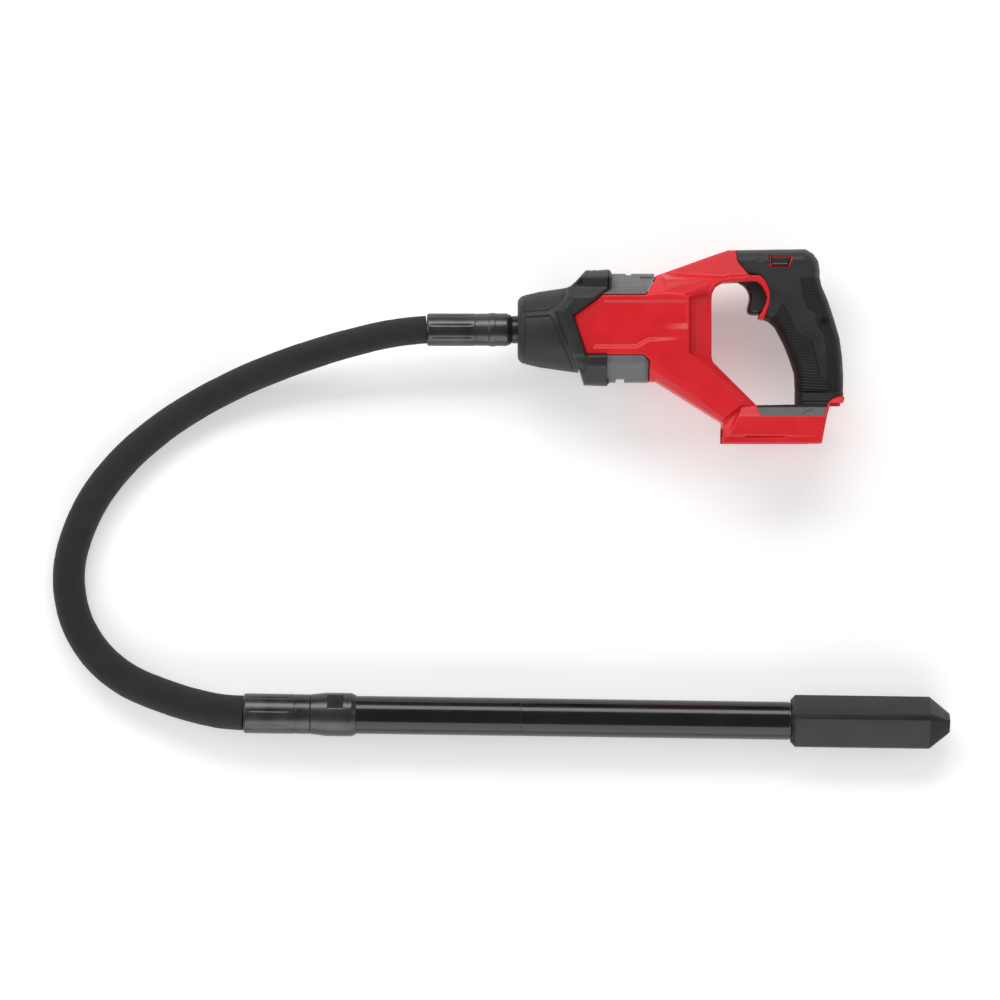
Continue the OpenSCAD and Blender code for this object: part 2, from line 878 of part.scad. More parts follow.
module lock_button() {
    color("black") on_tool() translate([0, 0, -lock_travel / 2 - 1]) difference() {
        slab(lock_outline, grip_half + 1);
        // Finger ribs on both faces
        for (side = [-1, 1], x = [171.5 : 4 : 180]) {
            translate([0, 0, side * (grip_half + 1)]) block([x, x + 1.2], [58, 66.5], [-0.6, 0.6]);
        }
    }
}

// ---- hose ----

module coupling_neck() {
    color("silver") on_tool() x_tube(12.6, 8.4, -77, -51);
}

module neck_seal() {
    color("black") on_tool() translate([-61, 0, 0]) rotate([0, 90, 0]) rotate_extrude()
        translate([7.45, 0]) circle(r = 0.9);
}

drive_ferrule_start = -155;

module crimp_grooves(r, x0, x1, count) {
    around(count) block([x0, x1], [r - 0.7, r + 2], [-0.8, 0.8]);
}

module drive_ferrule() {
    color("slategray") on_tool() difference() {
        x_turn([[drive_ferrule_start, 0], [drive_ferrule_start, 14.6], [-153.5, 15.3], [-110, 15.3],
            [-109, 14.2], [-107, 14.2], [-106, 15], [-96, 15], [-95, 15.4], [-92, 15.4], [-91, 14.6],
            [-78, 14.2], [-77, 13.2], [-77, 0]]);
        x_rod(hose_bore_r, drive_ferrule_start - past, -76);
        crimp_grooves(15.3, -151, -112, 10);
    }
}

module hose_casing() {
    color("black") sweep_tube(hose_path, hose_radii, hose_bore_r, hose_sides, hose_first_dir, hose_last_dir);
}

module flexible_core() {
    lead_in = [for (x = [-66, -96, -126]) [tool_x + x, 0, tool_z]];
    end = hose_path[hose_last];
    lead_out = [for (x = [20, 40, ferrule_end + 3]) end + x * hose_last_dir];
    path = concat(lead_in, hose_path, lead_out);
    color("darkgray") sweep(path, [for (p = path) core_r], 8, hose_first_dir, hose_last_dir);
}

// ---- wand ----

module head_ferrule() {
    color("slategray") on_wand() difference() {
        x_turn([[0, 0], [0, 18], [1.5, 18.8], [46, 18.8], [47, 18], [50, 18], [51, 18.6],
            [ferrule_end - 1, 18.6], [ferrule_end, 18], [ferrule_end, 0]]);
        x_rod(hose_bore_r, -past, ferrule_end + past);
        crimp_grooves(18.8, 4, 44, 10);
    }
}

module wand_adapter() {
    color("slategray") on_wand() difference() {
        x_turn([[ferrule_end, 0], [ferrule_end, 18.4], [64.5, 19.5], [76, 20], [79, 20.5], [101, 20.5],
            [adapter_end, 18.6], [adapter_end, 0]]);
        x_rod(10, ferrule_end - past, 92);
        x_rod(pipe_r, 92, adapter_end + past);
        // Two spanner flats, opposite each other
        for (a = [flat_angle, flat_angle + 180]) {
            rotate([a, 0, 0]) block([79, 94], [flat_reach, 24], [-12, 12]);
        }
    }
}

module rear_pipe() {
    color("black") on_wand() x_tube(pipe_r, pipe_bore_r, 92, pipe_seam - 0.2);
}

module front_pipe() {
    color("black") on_wand() x_tube(pipe_r, pipe_bore_r, pipe_seam + 0.2, pipe_end);
}

module pipe_joiner() {
    color("silver") on_wand() {
        x_tube(pipe_bore_r, 12, pipe_seam - 20, pipe_seam + 20);
        x_tube(pipe_r - 0.6, 12, pipe_seam - 0.2, pipe_seam + 0.2);
    }
}

module shaft_bushings() {
    color("goldenrod") on_wand() for (x = [120, 200, 330, 450]) {
        x_tube(pipe_bore_r, shaft_r + run_gap, x, x + 12);
    }
}

module core_driven_tip() {
    color("silver") on_wand() difference() {
        x_rod(8, ferrule_end + 3.1, 110);
        x_rod(shaft_r, 98, 111);
    }
}

module extension_shaft() {
    color("silver") on_wand() x_rod(shaft_r, 98, 540);
}

module head_coupling() {
    color("silver") on_wand() {
        x_tube(pipe_bore_r - 0.05, 9, coupling_x0, coupling_x1 - 5);
        x_tube(17, pipe_bore_r - 0.1, pipe_end, head_start);
    }
}

module head_prism(x0, x1) {
    a = head_half;
    b = head_half - head_chamfer;
    rotate([head_roll, 0, 0]) translate([x0, 0, 0]) rotate([90, 0, 90]) linear_extrude(height = x1 - x0)
        polygon([[a, -b], [a, b], [b, a], [-b, a], [-a, b], [-a, -b], [-b, -a], [b, -a]]);
}

module head_shell() {
    body_end = head_start + head_length - tip_length;
    head_end = head_start + head_length;
    color("dimgray") on_wand() difference() {
        intersection() {
            hull() {
                head_prism(head_start, body_end);
                rotate([head_roll, 0, 0])
                    block([head_end - 0.1, head_end], [-tip_half, tip_half], [-tip_half, tip_half]);
            }
            x_turn([[head_start, 0], [head_start, 19.5], [head_start + 6.5, 26], [head_end + past, 26],
                [head_end + past, 0]]);
        }
        x_rod(pipe_bore_r, head_start - past, coupling_x1 - 5);
        x_rod(head_bore_r, coupling_x1 - 6, head_bore_end);
    }
}

module shaft_seal() {
    color("black") on_wand() x_tube(head_bore_r, shaft_r + gap, 541, 544);
}

module head_bearing_outers() {
    color("gainsboro") on_wand() {
        bearing_outer(head_bore_r, shaft_r, 545, 555);
        bearing_outer(head_bore_r, shaft_r, 643, 653);
    }
}

module head_bearing_inners() {
    color("silver") on_wand() {
        bearing_inner(head_bore_r, shaft_r, 545, 555);
        bearing_inner(head_bore_r, shaft_r, 643, 653);
    }
}

// Journals at both ends and a half-round weight between them
module eccentric_weight() {
    color("gray") on_wand() {
        x_rod(shaft_r, 540, 653);
        difference() {
            x_rod(12.5, 560, 638);
            block([559, 639], [-13, 13], [-13, -2]);
        }
    }
}

left_housing();
right_housing();
left_grip();
right_grip();
left_skirt();
right_skirt();
motor_frame();
bumper_collar();
nose_cone();
nose_screws();
housing_screws();
stator_core();
stator_coils();
front_bearing_outer();
rear_bearing_outer();
rotor_magnets();
rotor_shaft();
rotor_bearing_inners();
cooling_fan();
drive_socket();
core_drive_tip();
control_module();
terminal_block();
switch_leads();
motor_leads();
trigger();
trigger_switch();
trigger_spring();
lock_button();
coupling_neck();
neck_seal();
drive_ferrule();
hose_casing();
flexible_core();
head_ferrule();
wand_adapter();
rear_pipe();
front_pipe();
pipe_joiner();
shaft_bushings();
core_driven_tip();
extension_shaft();
head_coupling();
head_shell();
shaft_seal();
head_bearing_outers();
head_bearing_inners();
eccentric_weight();
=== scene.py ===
"""Looks for the concrete vibrator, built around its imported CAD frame.

Motor unit pieces are made in the unit's own millimetres: X along the motor's axis towards the handle,
Y up the handle, Z out of the left side. Wand pieces run along the wand's own X.
"""

import json
import math

import bmesh
import bpy
import numpy as np
from mathutils import Matrix, Vector


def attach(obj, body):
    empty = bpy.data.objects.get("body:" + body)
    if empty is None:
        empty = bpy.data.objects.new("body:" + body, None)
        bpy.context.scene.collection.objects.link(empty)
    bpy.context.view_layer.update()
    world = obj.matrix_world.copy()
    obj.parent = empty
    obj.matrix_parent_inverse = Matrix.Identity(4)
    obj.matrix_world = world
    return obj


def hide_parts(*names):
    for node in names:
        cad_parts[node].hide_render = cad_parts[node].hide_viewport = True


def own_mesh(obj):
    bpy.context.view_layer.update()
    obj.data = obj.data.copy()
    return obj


MM = 0.001
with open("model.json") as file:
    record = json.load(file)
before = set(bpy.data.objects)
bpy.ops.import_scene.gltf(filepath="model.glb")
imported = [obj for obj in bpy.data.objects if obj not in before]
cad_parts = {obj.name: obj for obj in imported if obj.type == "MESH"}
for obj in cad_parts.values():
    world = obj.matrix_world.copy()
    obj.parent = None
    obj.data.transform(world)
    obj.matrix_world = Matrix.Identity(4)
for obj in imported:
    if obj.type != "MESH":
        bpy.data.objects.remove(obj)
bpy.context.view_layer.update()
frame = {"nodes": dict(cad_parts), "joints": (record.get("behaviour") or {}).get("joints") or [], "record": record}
joints = {joint["name"]: joint for joint in frame["joints"]}
TOOL = Matrix.Translation(Vector(joints["rotor_spin"]["pos_m"])) @ Matrix.Scale(MM, 4)
wand_axis = Vector(joints["eccentric_spin"]["axis"]).normalized()
wand_mid = Vector(joints["eccentric_spin"]["pos_m"])
WAND_START_X = -0.308
WAND_START = wand_mid + wand_axis * ((WAND_START_X - wand_mid.x) / wand_axis.x)
WAND = (
    Matrix.Translation(WAND_START)
    @ wand_axis.to_track_quat("X", "Z").to_matrix().to_4x4()
    @ Matrix.Scale(MM, 4)
)


# ---- camera and lights ----

VIEW_WIDTH = 0.94
VIEW_CENTRE = Vector((-0.0665, -0.1598, 0.04))
CAMERA_HEIGHT = 6.0


def make_camera():
    data = bpy.data.cameras.new("camera")
    data.sensor_width = 36
    data.lens = data.sensor_width * CAMERA_HEIGHT / VIEW_WIDTH
    data.clip_end = 30
    camera = bpy.data.objects.new("camera", data)
    camera.location = VIEW_CENTRE + Vector((0, 0, CAMERA_HEIGHT))
    bpy.context.scene.collection.objects.link(camera)
    bpy.context.scene.camera = camera


def soft_light(name, place, target, size, power):
    data = bpy.data.lights.new(name, "AREA")
    data.shape = "RECTANGLE"
    data.size, data.size_y = size
    data.energy = power
    light = bpy.data.objects.new(name, data)
    light.location = place
    light.rotation_mode = "QUATERNION"
    light.rotation_quaternion = (Vector(target) - Vector(place)).to_track_quat("-Z", "Y")
    light.visible_camera = False
    bpy.context.scene.collection.objects.link(light)


def make_lights():
    middle = (-0.05, -0.15, 0.03)
    soft_light("key", (-0.3, 1.5, 1.5), middle, (2.6, 0.9), 40)
    soft_light("fill", (0.1, -2.2, 0.9), middle, (3.0, 1.9), 39)
    soft_light("left", (-2.2, 0.3, 1.4), middle, (1.0, 1.4), 10)
    soft_light("right", (2.2, 0.2, 1.6), middle, (1.0, 1.4), 5)
    world = bpy.data.worlds.new("studio")
    bpy.context.scene.world = world
    world.use_nodes = True
    background = world.node_tree.nodes["Background"]
    background.inputs["Color"].default_value = (1.0, 1.0, 1.0, 1)
    background.inputs["Strength"].default_value = 0.28
    bpy.context.scene.view_settings.view_transform = "Standard"


# ---- materials ----


def link(tree, start, end):
    tree.links.new(start, end)


def noise(tree, coordinates, scale, detail=3.0, stretch=(1, 1, 1)):
    """Noise of so many features a metre; stretch makes it longer along an axis where it is below 1."""
    mapping = tree.nodes.new("ShaderNodeMapping")
    mapping.inputs["Scale"].default_value = stretch
    link(tree, coordinates, mapping.inputs["Vector"])
    node = tree.nodes.new("ShaderNodeTexNoise")
    node.inputs["Scale"].default_value = scale
    node.inputs["Detail"].default_value = detail
    link(tree, mapping.outputs["Vector"], node.inputs["Vector"])
    return node.outputs["Fac"]


def ramp(tree, factor, low, high, at=(0.3, 0.7)):
    node = tree.nodes.new("ShaderNodeValToRGB")
    node.color_ramp.elements[0].position, node.color_ramp.elements[1].position = at
    node.color_ramp.elements[0].color = (*low, 1)
    node.color_ramp.elements[1].color = (*high, 1)
    link(tree, factor, node.inputs["Fac"])
    return node.outputs["Color"]


def spread(tree, factor, low, high):
    """The factor's middle stretch, moved to run from low to high."""
    node = tree.nodes.new("ShaderNodeMapRange")
    node.inputs["From Min"].default_value = 0.3
    node.inputs["From Max"].default_value = 0.7
    node.inputs["To Min"].default_value = low
    node.inputs["To Max"].default_value = high
    link(tree, factor, node.inputs["Value"])
    return node.outputs["Result"]


def surface(name, dark, light, rough, metallic=0.0, cloud=45, grain=1800, depth=0.02, stretch=(1, 1, 1),
            coat=0.0, specular=0.5, wear_and_highlight=None):
    """A moulded or metal surface: clouded colour and roughness, a fine grain, and lighter edges that are partly
    wear and partly a painted highlight.

    cloud and grain are features a metre, depth is the grain's in millimetres.
    """
    material = bpy.data.materials.new(name)
    material.use_nodes = True
    tree = material.node_tree
    shader = tree.nodes["Principled BSDF"]
    shader.inputs["Metallic"].default_value = metallic
    shader.inputs["Specular IOR Level"].default_value = specular
    shader.inputs["Coat Weight"].default_value = coat
    shader.inputs["Coat Roughness"].default_value = 0.08
    place = tree.nodes.new("ShaderNodeTexCoord").outputs["Object"]
    clouds = noise(tree, place, cloud, 4)
    fine = noise(tree, place, grain, 2, stretch)
    colour = ramp(tree, clouds, dark, light)
    if wear_and_highlight:
        # Lighter edges: part wear, part a painted highlight along edges and chamfers.
        edges = tree.nodes.new("ShaderNodeNewGeometry").outputs["Pointiness"]
        worn_and_lit_edges = ramp(tree, edges, (0, 0, 0), (1, 1, 1), (0.52, 0.62))
        patches = spread(tree, noise(tree, place, cloud * 6, 5), 0.0, 0.7)
        amount = tree.nodes.new("ShaderNodeMath")
        amount.operation = "MULTIPLY"
        link(tree, worn_and_lit_edges, amount.inputs[0])
        link(tree, patches, amount.inputs[1])
        mix = tree.nodes.new("ShaderNodeMix")
        mix.data_type = "RGBA"
        mix.inputs["B"].default_value = (*wear_and_highlight, 1)
        link(tree, amount.outputs["Value"], mix.inputs["Factor"])
        link(tree, colour, mix.inputs["A"])
        colour = mix.outputs["Result"]
    link(tree, colour, shader.inputs["Base Color"])
    link(tree, spread(tree, clouds, *rough), shader.inputs["Roughness"])
    bump = tree.nodes.new("ShaderNodeBump")
    bump.inputs["Strength"].default_value = 0.6
    bump.inputs["Distance"].default_value = depth * MM
    link(tree, fine, bump.inputs["Height"])
    link(tree, bump.outputs["Normal"], shader.inputs["Normal"])
    return material


def grey(level, tint=(1, 1, 1)):
    return tuple(level * t for t in tint)


RED = surface("red_shell", (0.60, 0.008, 0.014), (0.66, 0.011, 0.018), (0.34, 0.44), grain=2600,
              depth=0.012, specular=0.35, wear_and_highlight=(0.75, 0.05, 0.06))
RUBBER = surface("soft_grip", grey(0.018), grey(0.026), (0.42, 0.55), grain=2200, depth=0.03,
                 specular=0.32, wear_and_highlight=grey(0.03))
DOTTED_RUBBER = surface("dotted_grip", grey(0.006), grey(0.010), (0.5, 0.62), grain=2200, depth=0.03,
                        specular=0.28, wear_and_highlight=grey(0.02))
BUMPER = surface("bumper", grey(0.014, (0.95, 1, 1.03)), grey(0.022), (0.40, 0.52), grain=1600, depth=0.03,
                 specular=0.35, wear_and_highlight=grey(0.05))
NOSE = surface("nose", grey(0.018, (1.04, 1, 0.97)), grey(0.026, (1.04, 1, 0.97)), (0.45, 0.58), grain=1500,
               depth=0.05, specular=0.32, wear_and_highlight=grey(0.05))
FRAME = surface("frame", grey(0.115), grey(0.145), (0.42, 0.54), grain=2200, specular=0.4,
                wear_and_highlight=grey(0.22))
SKIRT = surface("skirt", grey(0.075), grey(0.095), (0.30, 0.42), grain=2400, specular=0.4,
                wear_and_highlight=grey(0.08))
TRIGGER = surface("trigger", grey(0.018), grey(0.026), (0.26, 0.36), grain=2600, depth=0.01, specular=0.4,
                  wear_and_highlight=grey(0.04))
SCREW = surface("screws", grey(0.03), grey(0.05), (0.30, 0.42), metallic=0.8, grain=1500, depth=0.01)
FERRULE = surface("ferrule", grey(0.047, (0.96, 0.98, 1.02)), grey(0.078), (0.24, 0.36), metallic=0.85,
                  grain=1400, depth=0.012, stretch=(0.12, 1, 1), wear_and_highlight=grey(0.22))
PIPE = surface("pipe", grey(0.003), grey(0.005), (0.14, 0.22), grain=900, depth=0.006, coat=0.2,
               specular=0.34)
HEAD = surface("head", grey(0.010, (1, 1, 1.02)), grey(0.016), (0.36, 0.5), metallic=0.1, grain=1100,
               depth=0.05, specular=0.32, wear_and_highlight=grey(0.12))
STEEL = surface("machined_steel", grey(0.45), grey(0.55), (0.22, 0.34), metallic=1.0, grain=1600,
                depth=0.01, stretch=(1, 0.1, 0.1))
DARK_STEEL = surface("dark_steel", grey(0.03), grey(0.05), (0.25, 0.36), metallic=0.8, grain=1600,
                     depth=0.01, stretch=(1, 0.1, 0.1), wear_and_highlight=grey(0.15))
INNER = [
    surface("laminations", grey(0.30), grey(0.38), (0.35, 0.5), metallic=0.9, grain=2400, depth=0.04,
            stretch=(1, 0.02, 0.02)),
    surface("copper", (0.62, 0.24, 0.10), (0.75, 0.32, 0.15), (0.25, 0.4), metallic=1.0, grain=1500,
            depth=0.08, stretch=(0.02, 1, 1)),
    surface("bearing_steel", grey(0.55), grey(0.65), (0.12, 0.22), metallic=1.0),
    surface("magnets", grey(0.2), grey(0.26), (0.3, 0.45), metallic=0.8),
    surface("fan", grey(0.03), grey(0.045), (0.4, 0.55)),
    surface("module", (0.02, 0.035, 0.03), (0.03, 0.05, 0.045), (0.3, 0.5)),
    surface("terminals", grey(0.03), grey(0.05), (0.4, 0.5)),
    surface("lead_jacket", (0.40, 0.02, 0.02), (0.48, 0.03, 0.03), (0.35, 0.5)),
    surface("switch", grey(0.04), grey(0.06), (0.35, 0.5)),
    surface("spring_steel", grey(0.5), grey(0.6), (0.2, 0.3), metallic=1.0),
    surface("seal", grey(0.015), grey(0.025), (0.5, 0.6)),
    surface("core", grey(0.3), grey(0.4), (0.3, 0.45), metallic=1.0, grain=900, depth=0.2,
            stretch=(0.3, 1, 1)),
    surface("bronze", (0.45, 0.26, 0.10), (0.55, 0.33, 0.14), (0.3, 0.42), metallic=1.0),
]


def slot_of(material):
    """The slot that a material is named after; Blender numbers it where the frame uses that name too."""
    return material.name.split(".")[0]


OUTER = [RED, RUBBER, SKIRT, FRAME, BUMPER, NOSE, TRIGGER, SCREW, FERRULE, PIPE, HEAD, STEEL]
BY_SLOT = {slot_of(material): material for material in INNER + OUTER}


def make_hose_material():
    """Black woven wrap: two crossed waves for the weave, laid over blotchy soft rubber."""
    material = surface("hose", grey(0.008, (1.05, 1, 0.9)), grey(0.016, (1.05, 1, 0.9)), (0.5, 0.68),
                       cloud=70, grain=2600, depth=0.06, specular=0.3)
    tree = material.node_tree
    place = tree.nodes.new("ShaderNodeTexCoord").outputs["UV"]
    add = tree.nodes.new("ShaderNodeMath")
    add.operation = "ADD"
    for socket, direction in zip(add.inputs, ("X", "Y")):
        wave = tree.nodes.new("ShaderNodeTexWave")
        wave.bands_direction = direction
        wave.inputs["Scale"].default_value = 1.0
        wave.inputs["Distortion"].default_value = 0.6
        link(tree, place, wave.inputs["Vector"])
        link(tree, wave.outputs["Fac"], socket)
    old = next(n for n in tree.nodes if n.type == "BUMP")
    bump = tree.nodes.new("ShaderNodeBump")
    bump.inputs["Strength"].default_value = 0.5
    bump.inputs["Distance"].default_value = 0.00012
    link(tree, add.outputs["Value"], bump.inputs["Height"])
    link(tree, old.outputs["Normal"], bump.inputs["Normal"])
    link(tree, bump.outputs["Normal"], tree.nodes["Principled BSDF"].inputs["Normal"])
    return material


# ---- meshes ----


def make_piece(name, parts, material, place=TOOL, body="root", stands_for=(), slot=None, sharp=60):
    """One object from (vertices, faces) parts in millimetres."""
    vertices, faces = [], []
    for part_vertices, part_faces in parts:
        base = len(vertices)
        vertices += [tuple(v) for v in part_vertices]
        faces += [[base + i for i in face] for face in part_faces]
    mesh = bpy.data.meshes.new(name)
    mesh.from_pydata(vertices, [], faces)
    mesh.transform(place)
    mesh.update()
    mesh.shade_smooth()
    mesh.set_sharp_from_angle(angle=math.radians(sharp))
    mesh.materials.append(material)
    piece = bpy.data.objects.new(name, mesh)
    bpy.context.scene.collection.objects.link(piece)
    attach(piece, body)
    if stands_for:
        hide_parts(*stands_for)
    slot or slot_of(material)
    return piece


def paint(piece, material, measure):
    """Gives the faces whose middles lie inside the measured area a second material."""
    mesh = piece.data
    mesh.materials.append(material)
    middles = np.empty(len(mesh.polygons) * 3)
    mesh.polygons.foreach_get("center", middles)
    back = np.array(TOOL.inverted())
    local = middles.reshape(-1, 3) @ back[:3, :3].T + back[:3, 3]
    mesh.polygons.foreach_set("material_index", (measure(local[:, 0], local[:, 1]) > 0).astype(np.int32))


def mirrored(part):
    """The part on the other side of the middle plane."""
    vertices, faces = part
    return [(x, y, -z) for x, y, z in vertices], [list(reversed(face)) for face in faces]


def nearest_on(stretches, x, y):
    """How far grid points lie from the nearest of some straight stretches."""
    nearest = np.full(x.shape, 1e9)
    for (x0, y0), (x1, y1) in stretches:
        dx, dy = x1 - x0, y1 - y0
        along = np.clip(((x - x0) * dx + (y - y0) * dy) / (dx * dx + dy * dy), 0, 1)
        nearest = np.minimum(nearest, np.hypot(x - x0 - along * dx, y - y0 - along * dy))
    return nearest


def inside_of(outline):
    """Measures how far grid points lie inside a closed outline; negative outside."""
    points = np.array(outline, float)
    sides = list(zip(points, np.roll(points, -1, axis=0)))

    def measure(x, y):
        inside = np.zeros(x.shape, bool)
        for (x0, y0), (x1, y1) in sides:
            if y0 != y1:
                inside ^= ((y0 > y) != (y1 > y)) & (x < (x1 - x0) * (y - y0) / (y1 - y0) + x0)
        distance = nearest_on(sides, x, y)
        return np.where(inside, distance, -distance)

    return measure


def off_line(points):
    """Measures how far grid points lie from an open line."""
    points = np.array(points, float)
    stretches = list(zip(points[:-1], points[1:]))
    return lambda x, y: nearest_on(stretches, x, y)


def clear_of(*spots):
    """Measures how far grid points lie outside round holes given as (x, y, radius)."""

    def measure(x, y):
        return np.min([np.hypot(x - sx, y - sy) - r for sx, sy, r in spots], axis=0)

    return measure


def all_of(*measures):
    return lambda x, y: np.min([m(x, y) for m in measures], axis=0)


def any_of(*measures):
    return lambda x, y: np.max([m(x, y) for m in measures], axis=0)


def not_in(measure):
    return lambda x, y: -measure(x, y)


def grown(measure, by):
    return lambda x, y: measure(x, y) + by


def level(height):
    return lambda x, y: np.full(x.shape, float(height))


def section_of(points, soften, samples=3):
    """A height across Y that is the same all along X, with its creases softened."""
    ys, heights = np.array(sorted(points), float).T
    offsets = np.linspace(-soften, soften, samples)
    return lambda x, y: np.mean([np.interp(y + o, ys, heights) for o in offsets], axis=0)


def step_at(distance, width=0.8):
    """0 outside, 1 inside, with a smooth rise of the given width."""
    t = np.clip(distance / width + 0.5, 0, 1)
    return t * t * (3 - 2 * t)


def groove(distance, half_width, depth):
    """A rounded groove along a line or an outline."""
    return -depth * np.exp(-((distance / half_width) ** 2) * 1.4)


def edge_drop(distance, radius):
    """How much a rounded edge lies below the flat face beside it."""
    t = np.clip(1 - distance / radius, 0, 1)
    return radius * (1 - np.sqrt(1 - t * t * 0.995))


def box_of(outline):
    points = np.array(outline, float)
    return points.min(0), points.max(0)


def cell_corners(grid):
    """A grid's values at the four corners of each of its cells."""
    return [grid[:-1, :-1], grid[1:, :-1], grid[1:, 1:], grid[:-1, 1:]]


def relief(area, top, bottom, outline, step=0.7):
    """A closed mesh from bottom to top, where area is positive within the outline's box."""
    lo, hi = box_of(outline)
    xs = np.arange(lo[0] - step, hi[0] + 2 * step, step)
    ys = np.arange(lo[1] - step, hi[1] + 2 * step, step)
    x, y = np.meshgrid(xs, ys, indexing="ij")
    distance = area(x, y)
    inside = distance > step / 2
    near = np.abs(distance) <= step / 2
    nudge = 0.02
    for _ in range(4):
        here = area(x[near], y[near])
        slope_x = (area(x[near] + nudge, y[near]) - area(x[near] - nudge, y[near])) / (2 * nudge)
        slope_y = (area(x[near], y[near] + nudge) - area(x[near], y[near] - nudge)) / (2 * nudge)
        size = np.maximum(np.hypot(slope_x, slope_y), 0.3)
        x[near] -= here * slope_x / size**2
        y[near] -= here * slope_y / size**2
    number = np.arange(x.size).reshape(x.shape)
    used = inside | near
    corners, kept, within = [cell_corners(grid) for grid in (number, used, inside)]
    count = sum(k.astype(int) for k in kept)
    middle = area(sum(cell_corners(x)) / 4, sum(cell_corners(y)) / 4)
    solid = np.any(within, axis=0) | (middle > 0.05 * step)
    whole = (count == 4) & solid
    faces = np.stack([c[whole] for c in corners], axis=1).tolist()
    for missing in range(4):
        partial = (count == 3) & ~kept[missing] & solid
        rest = [corners[(missing + k) % 4][partial] for k in (1, 2, 3)]
        faces += np.stack(rest, axis=1).tolist()
    order = sorted({i for face in faces for i in face})
    renumber = np.full(x.size, -1)
    renumber[order] = np.arange(len(order))
    renumber = renumber.tolist()
    faces = [[renumber[i] for i in face] for face in faces]
    flat_x, flat_y = x.ravel()[order], y.ravel()[order]
    high, low = top(flat_x, flat_y), bottom(flat_x, flat_y)
    low = np.minimum(low, high - 0.2)
    n = len(order)
    vertices = [*zip(flat_x.tolist(), flat_y.tolist(), high.tolist()),
                *zip(flat_x.tolist(), flat_y.tolist(), low.tolist())]
    sides = {(a, b) for face in faces for a, b in zip(face, face[1:] + face[:1])}
    walls = [[a, a + n, b + n, b] for a, b in sorted(sides) if (b, a) not in sides]
    return vertices, faces + [[i + n for i in reversed(face)] for face in faces] + walls


def facet_field(facets, outline, step=0.5, soften=0.7):
    """A height over the outline's box from flat facets of (x, y, z) corners.

    Later facets win, places with no facet take their neighbours' height, and the edges are softened.
    """
    lo, hi = box_of(outline)
    xs = np.arange(lo[0] - 6, hi[0] + 6, step)
    ys = np.arange(lo[1] - 6, hi[1] + 6, step)
    x, y = np.meshgrid(xs, ys, indexing="ij")
    z = np.full(x.shape, np.nan)
    for facet in facets:
        p = np.array(facet, float)
        for a, b, c in ((p[0], p[i], p[i + 1]) for i in range(1, len(p) - 1)):
            area = (b[0] - a[0]) * (c[1] - a[1]) - (c[0] - a[0]) * (b[1] - a[1])
            if abs(area) < 1e-6:
                continue
            u = ((x - a[0]) * (c[1] - a[1]) - (c[0] - a[0]) * (y - a[1])) / area
            v = ((b[0] - a[0]) * (y - a[1]) - (x - a[0]) * (b[1] - a[1])) / area
            hit = (u >= -1e-6) & (v >= -1e-6) & (u + v <= 1 + 1e-6)
            z[hit] = (a[2] + u * (b[2] - a[2]) + v * (c[2] - a[2]))[hit]
    while np.isnan(z).any():
        wide = np.pad(z, 1, constant_values=np.nan)
        around = np.stack([wide[:-2, 1:-1], wide[2:, 1:-1], wide[1:-1, :-2], wide[1:-1, 2:]])
        known = ~np.isnan(around)
        total = np.where(known, around, 0).sum(0)
        count = known.sum(0)
        grow = np.isnan(z) & (count > 0)
        z[grow] = total[grow] / count[grow]
    reach = int(3 * soften / step) + 1
    kernel = np.exp(-0.5 * (np.arange(-reach, reach + 1) * step / soften) ** 2)
    kernel /= kernel.sum()
    for axis in (0, 1):
        pads = [(reach, reach) if k == axis else (0, 0) for k in (0, 1)]
        wide = np.pad(z, pads, mode="edge")
        size = z.shape[axis]
        z = sum(w * np.take(wide, np.arange(k, k + size), axis) for k, w in enumerate(kernel))

    def height(px, py):
        i = np.clip((px - xs[0]) / step, 0, len(xs) - 1.001)
        j = np.clip((py - ys[0]) / step, 0, len(ys) - 1.001)
        i0, j0 = i.astype(int), j.astype(int)
        fi, fj = i - i0, j - j0
        return (z[i0, j0] * (1 - fi) * (1 - fj) + z[i0 + 1, j0] * fi * (1 - fj)
                + z[i0, j0 + 1] * (1 - fi) * fj + z[i0 + 1, j0 + 1] * fi * fj)

    return height


def rounded(profile, radius, count=5):
    """An open [x, r] line with its inner corners rounded."""
    out = [profile[0]]
    for before, here, after in zip(profile, profile[1:], profile[2:]):
        a, b = Vector(before) - Vector(here), Vector(after) - Vector(here)
        reach = min(radius, a.length * 0.45, b.length * 0.45)
        p, q = Vector(here) + a.normalized() * reach, Vector(here) + b.normalized() * reach
        for k in range(count + 1):
            t = k / count
            out.append(tuple(p * (1 - t) ** 2 + Vector(here) * 2 * t * (1 - t) + q * t * t))
    return out + [profile[-1]]


def dense(profile, spacing):
    """The same line with points no further apart than the spacing."""
    out = [profile[0]]
    for a, b in zip(profile, profile[1:]):
        n = max(1, math.ceil(math.dist(a, b) / spacing))
        out += [(a[0] + (b[0] - a[0]) * k / n, a[1] + (b[1] - a[1]) * k / n) for k in range(1, n + 1)]
    return out


def ring_faces(rings, sides):
    """Faces that join each ring of points to the next one."""
    faces = []
    for i in range(rings - 1):
        for k in range(sides):
            n = (k + 1) % sides
            faces.append([i * sides + k, (i + 1) * sides + k, (i + 1) * sides + n, i * sides + n])
    return faces


def turned(profile, sides=96, shape=None):
    """A ring of faces about X for each stretch of an [x, r] line; shape(x, angle, r) may change r."""
    x, r = np.array(profile, float).T
    x, angle = np.meshgrid(x, 2 * np.pi * np.arange(sides) / sides, indexing="ij")
    r = np.repeat(r[:, None], sides, 1)
    if shape:
        r = shape(x, angle, r)
    vertices = np.stack([x, r * np.sin(angle), r * np.cos(angle)], -1).reshape(-1, 3).tolist()
    return vertices, ring_faces(len(profile), sides)


# ---- hose ----

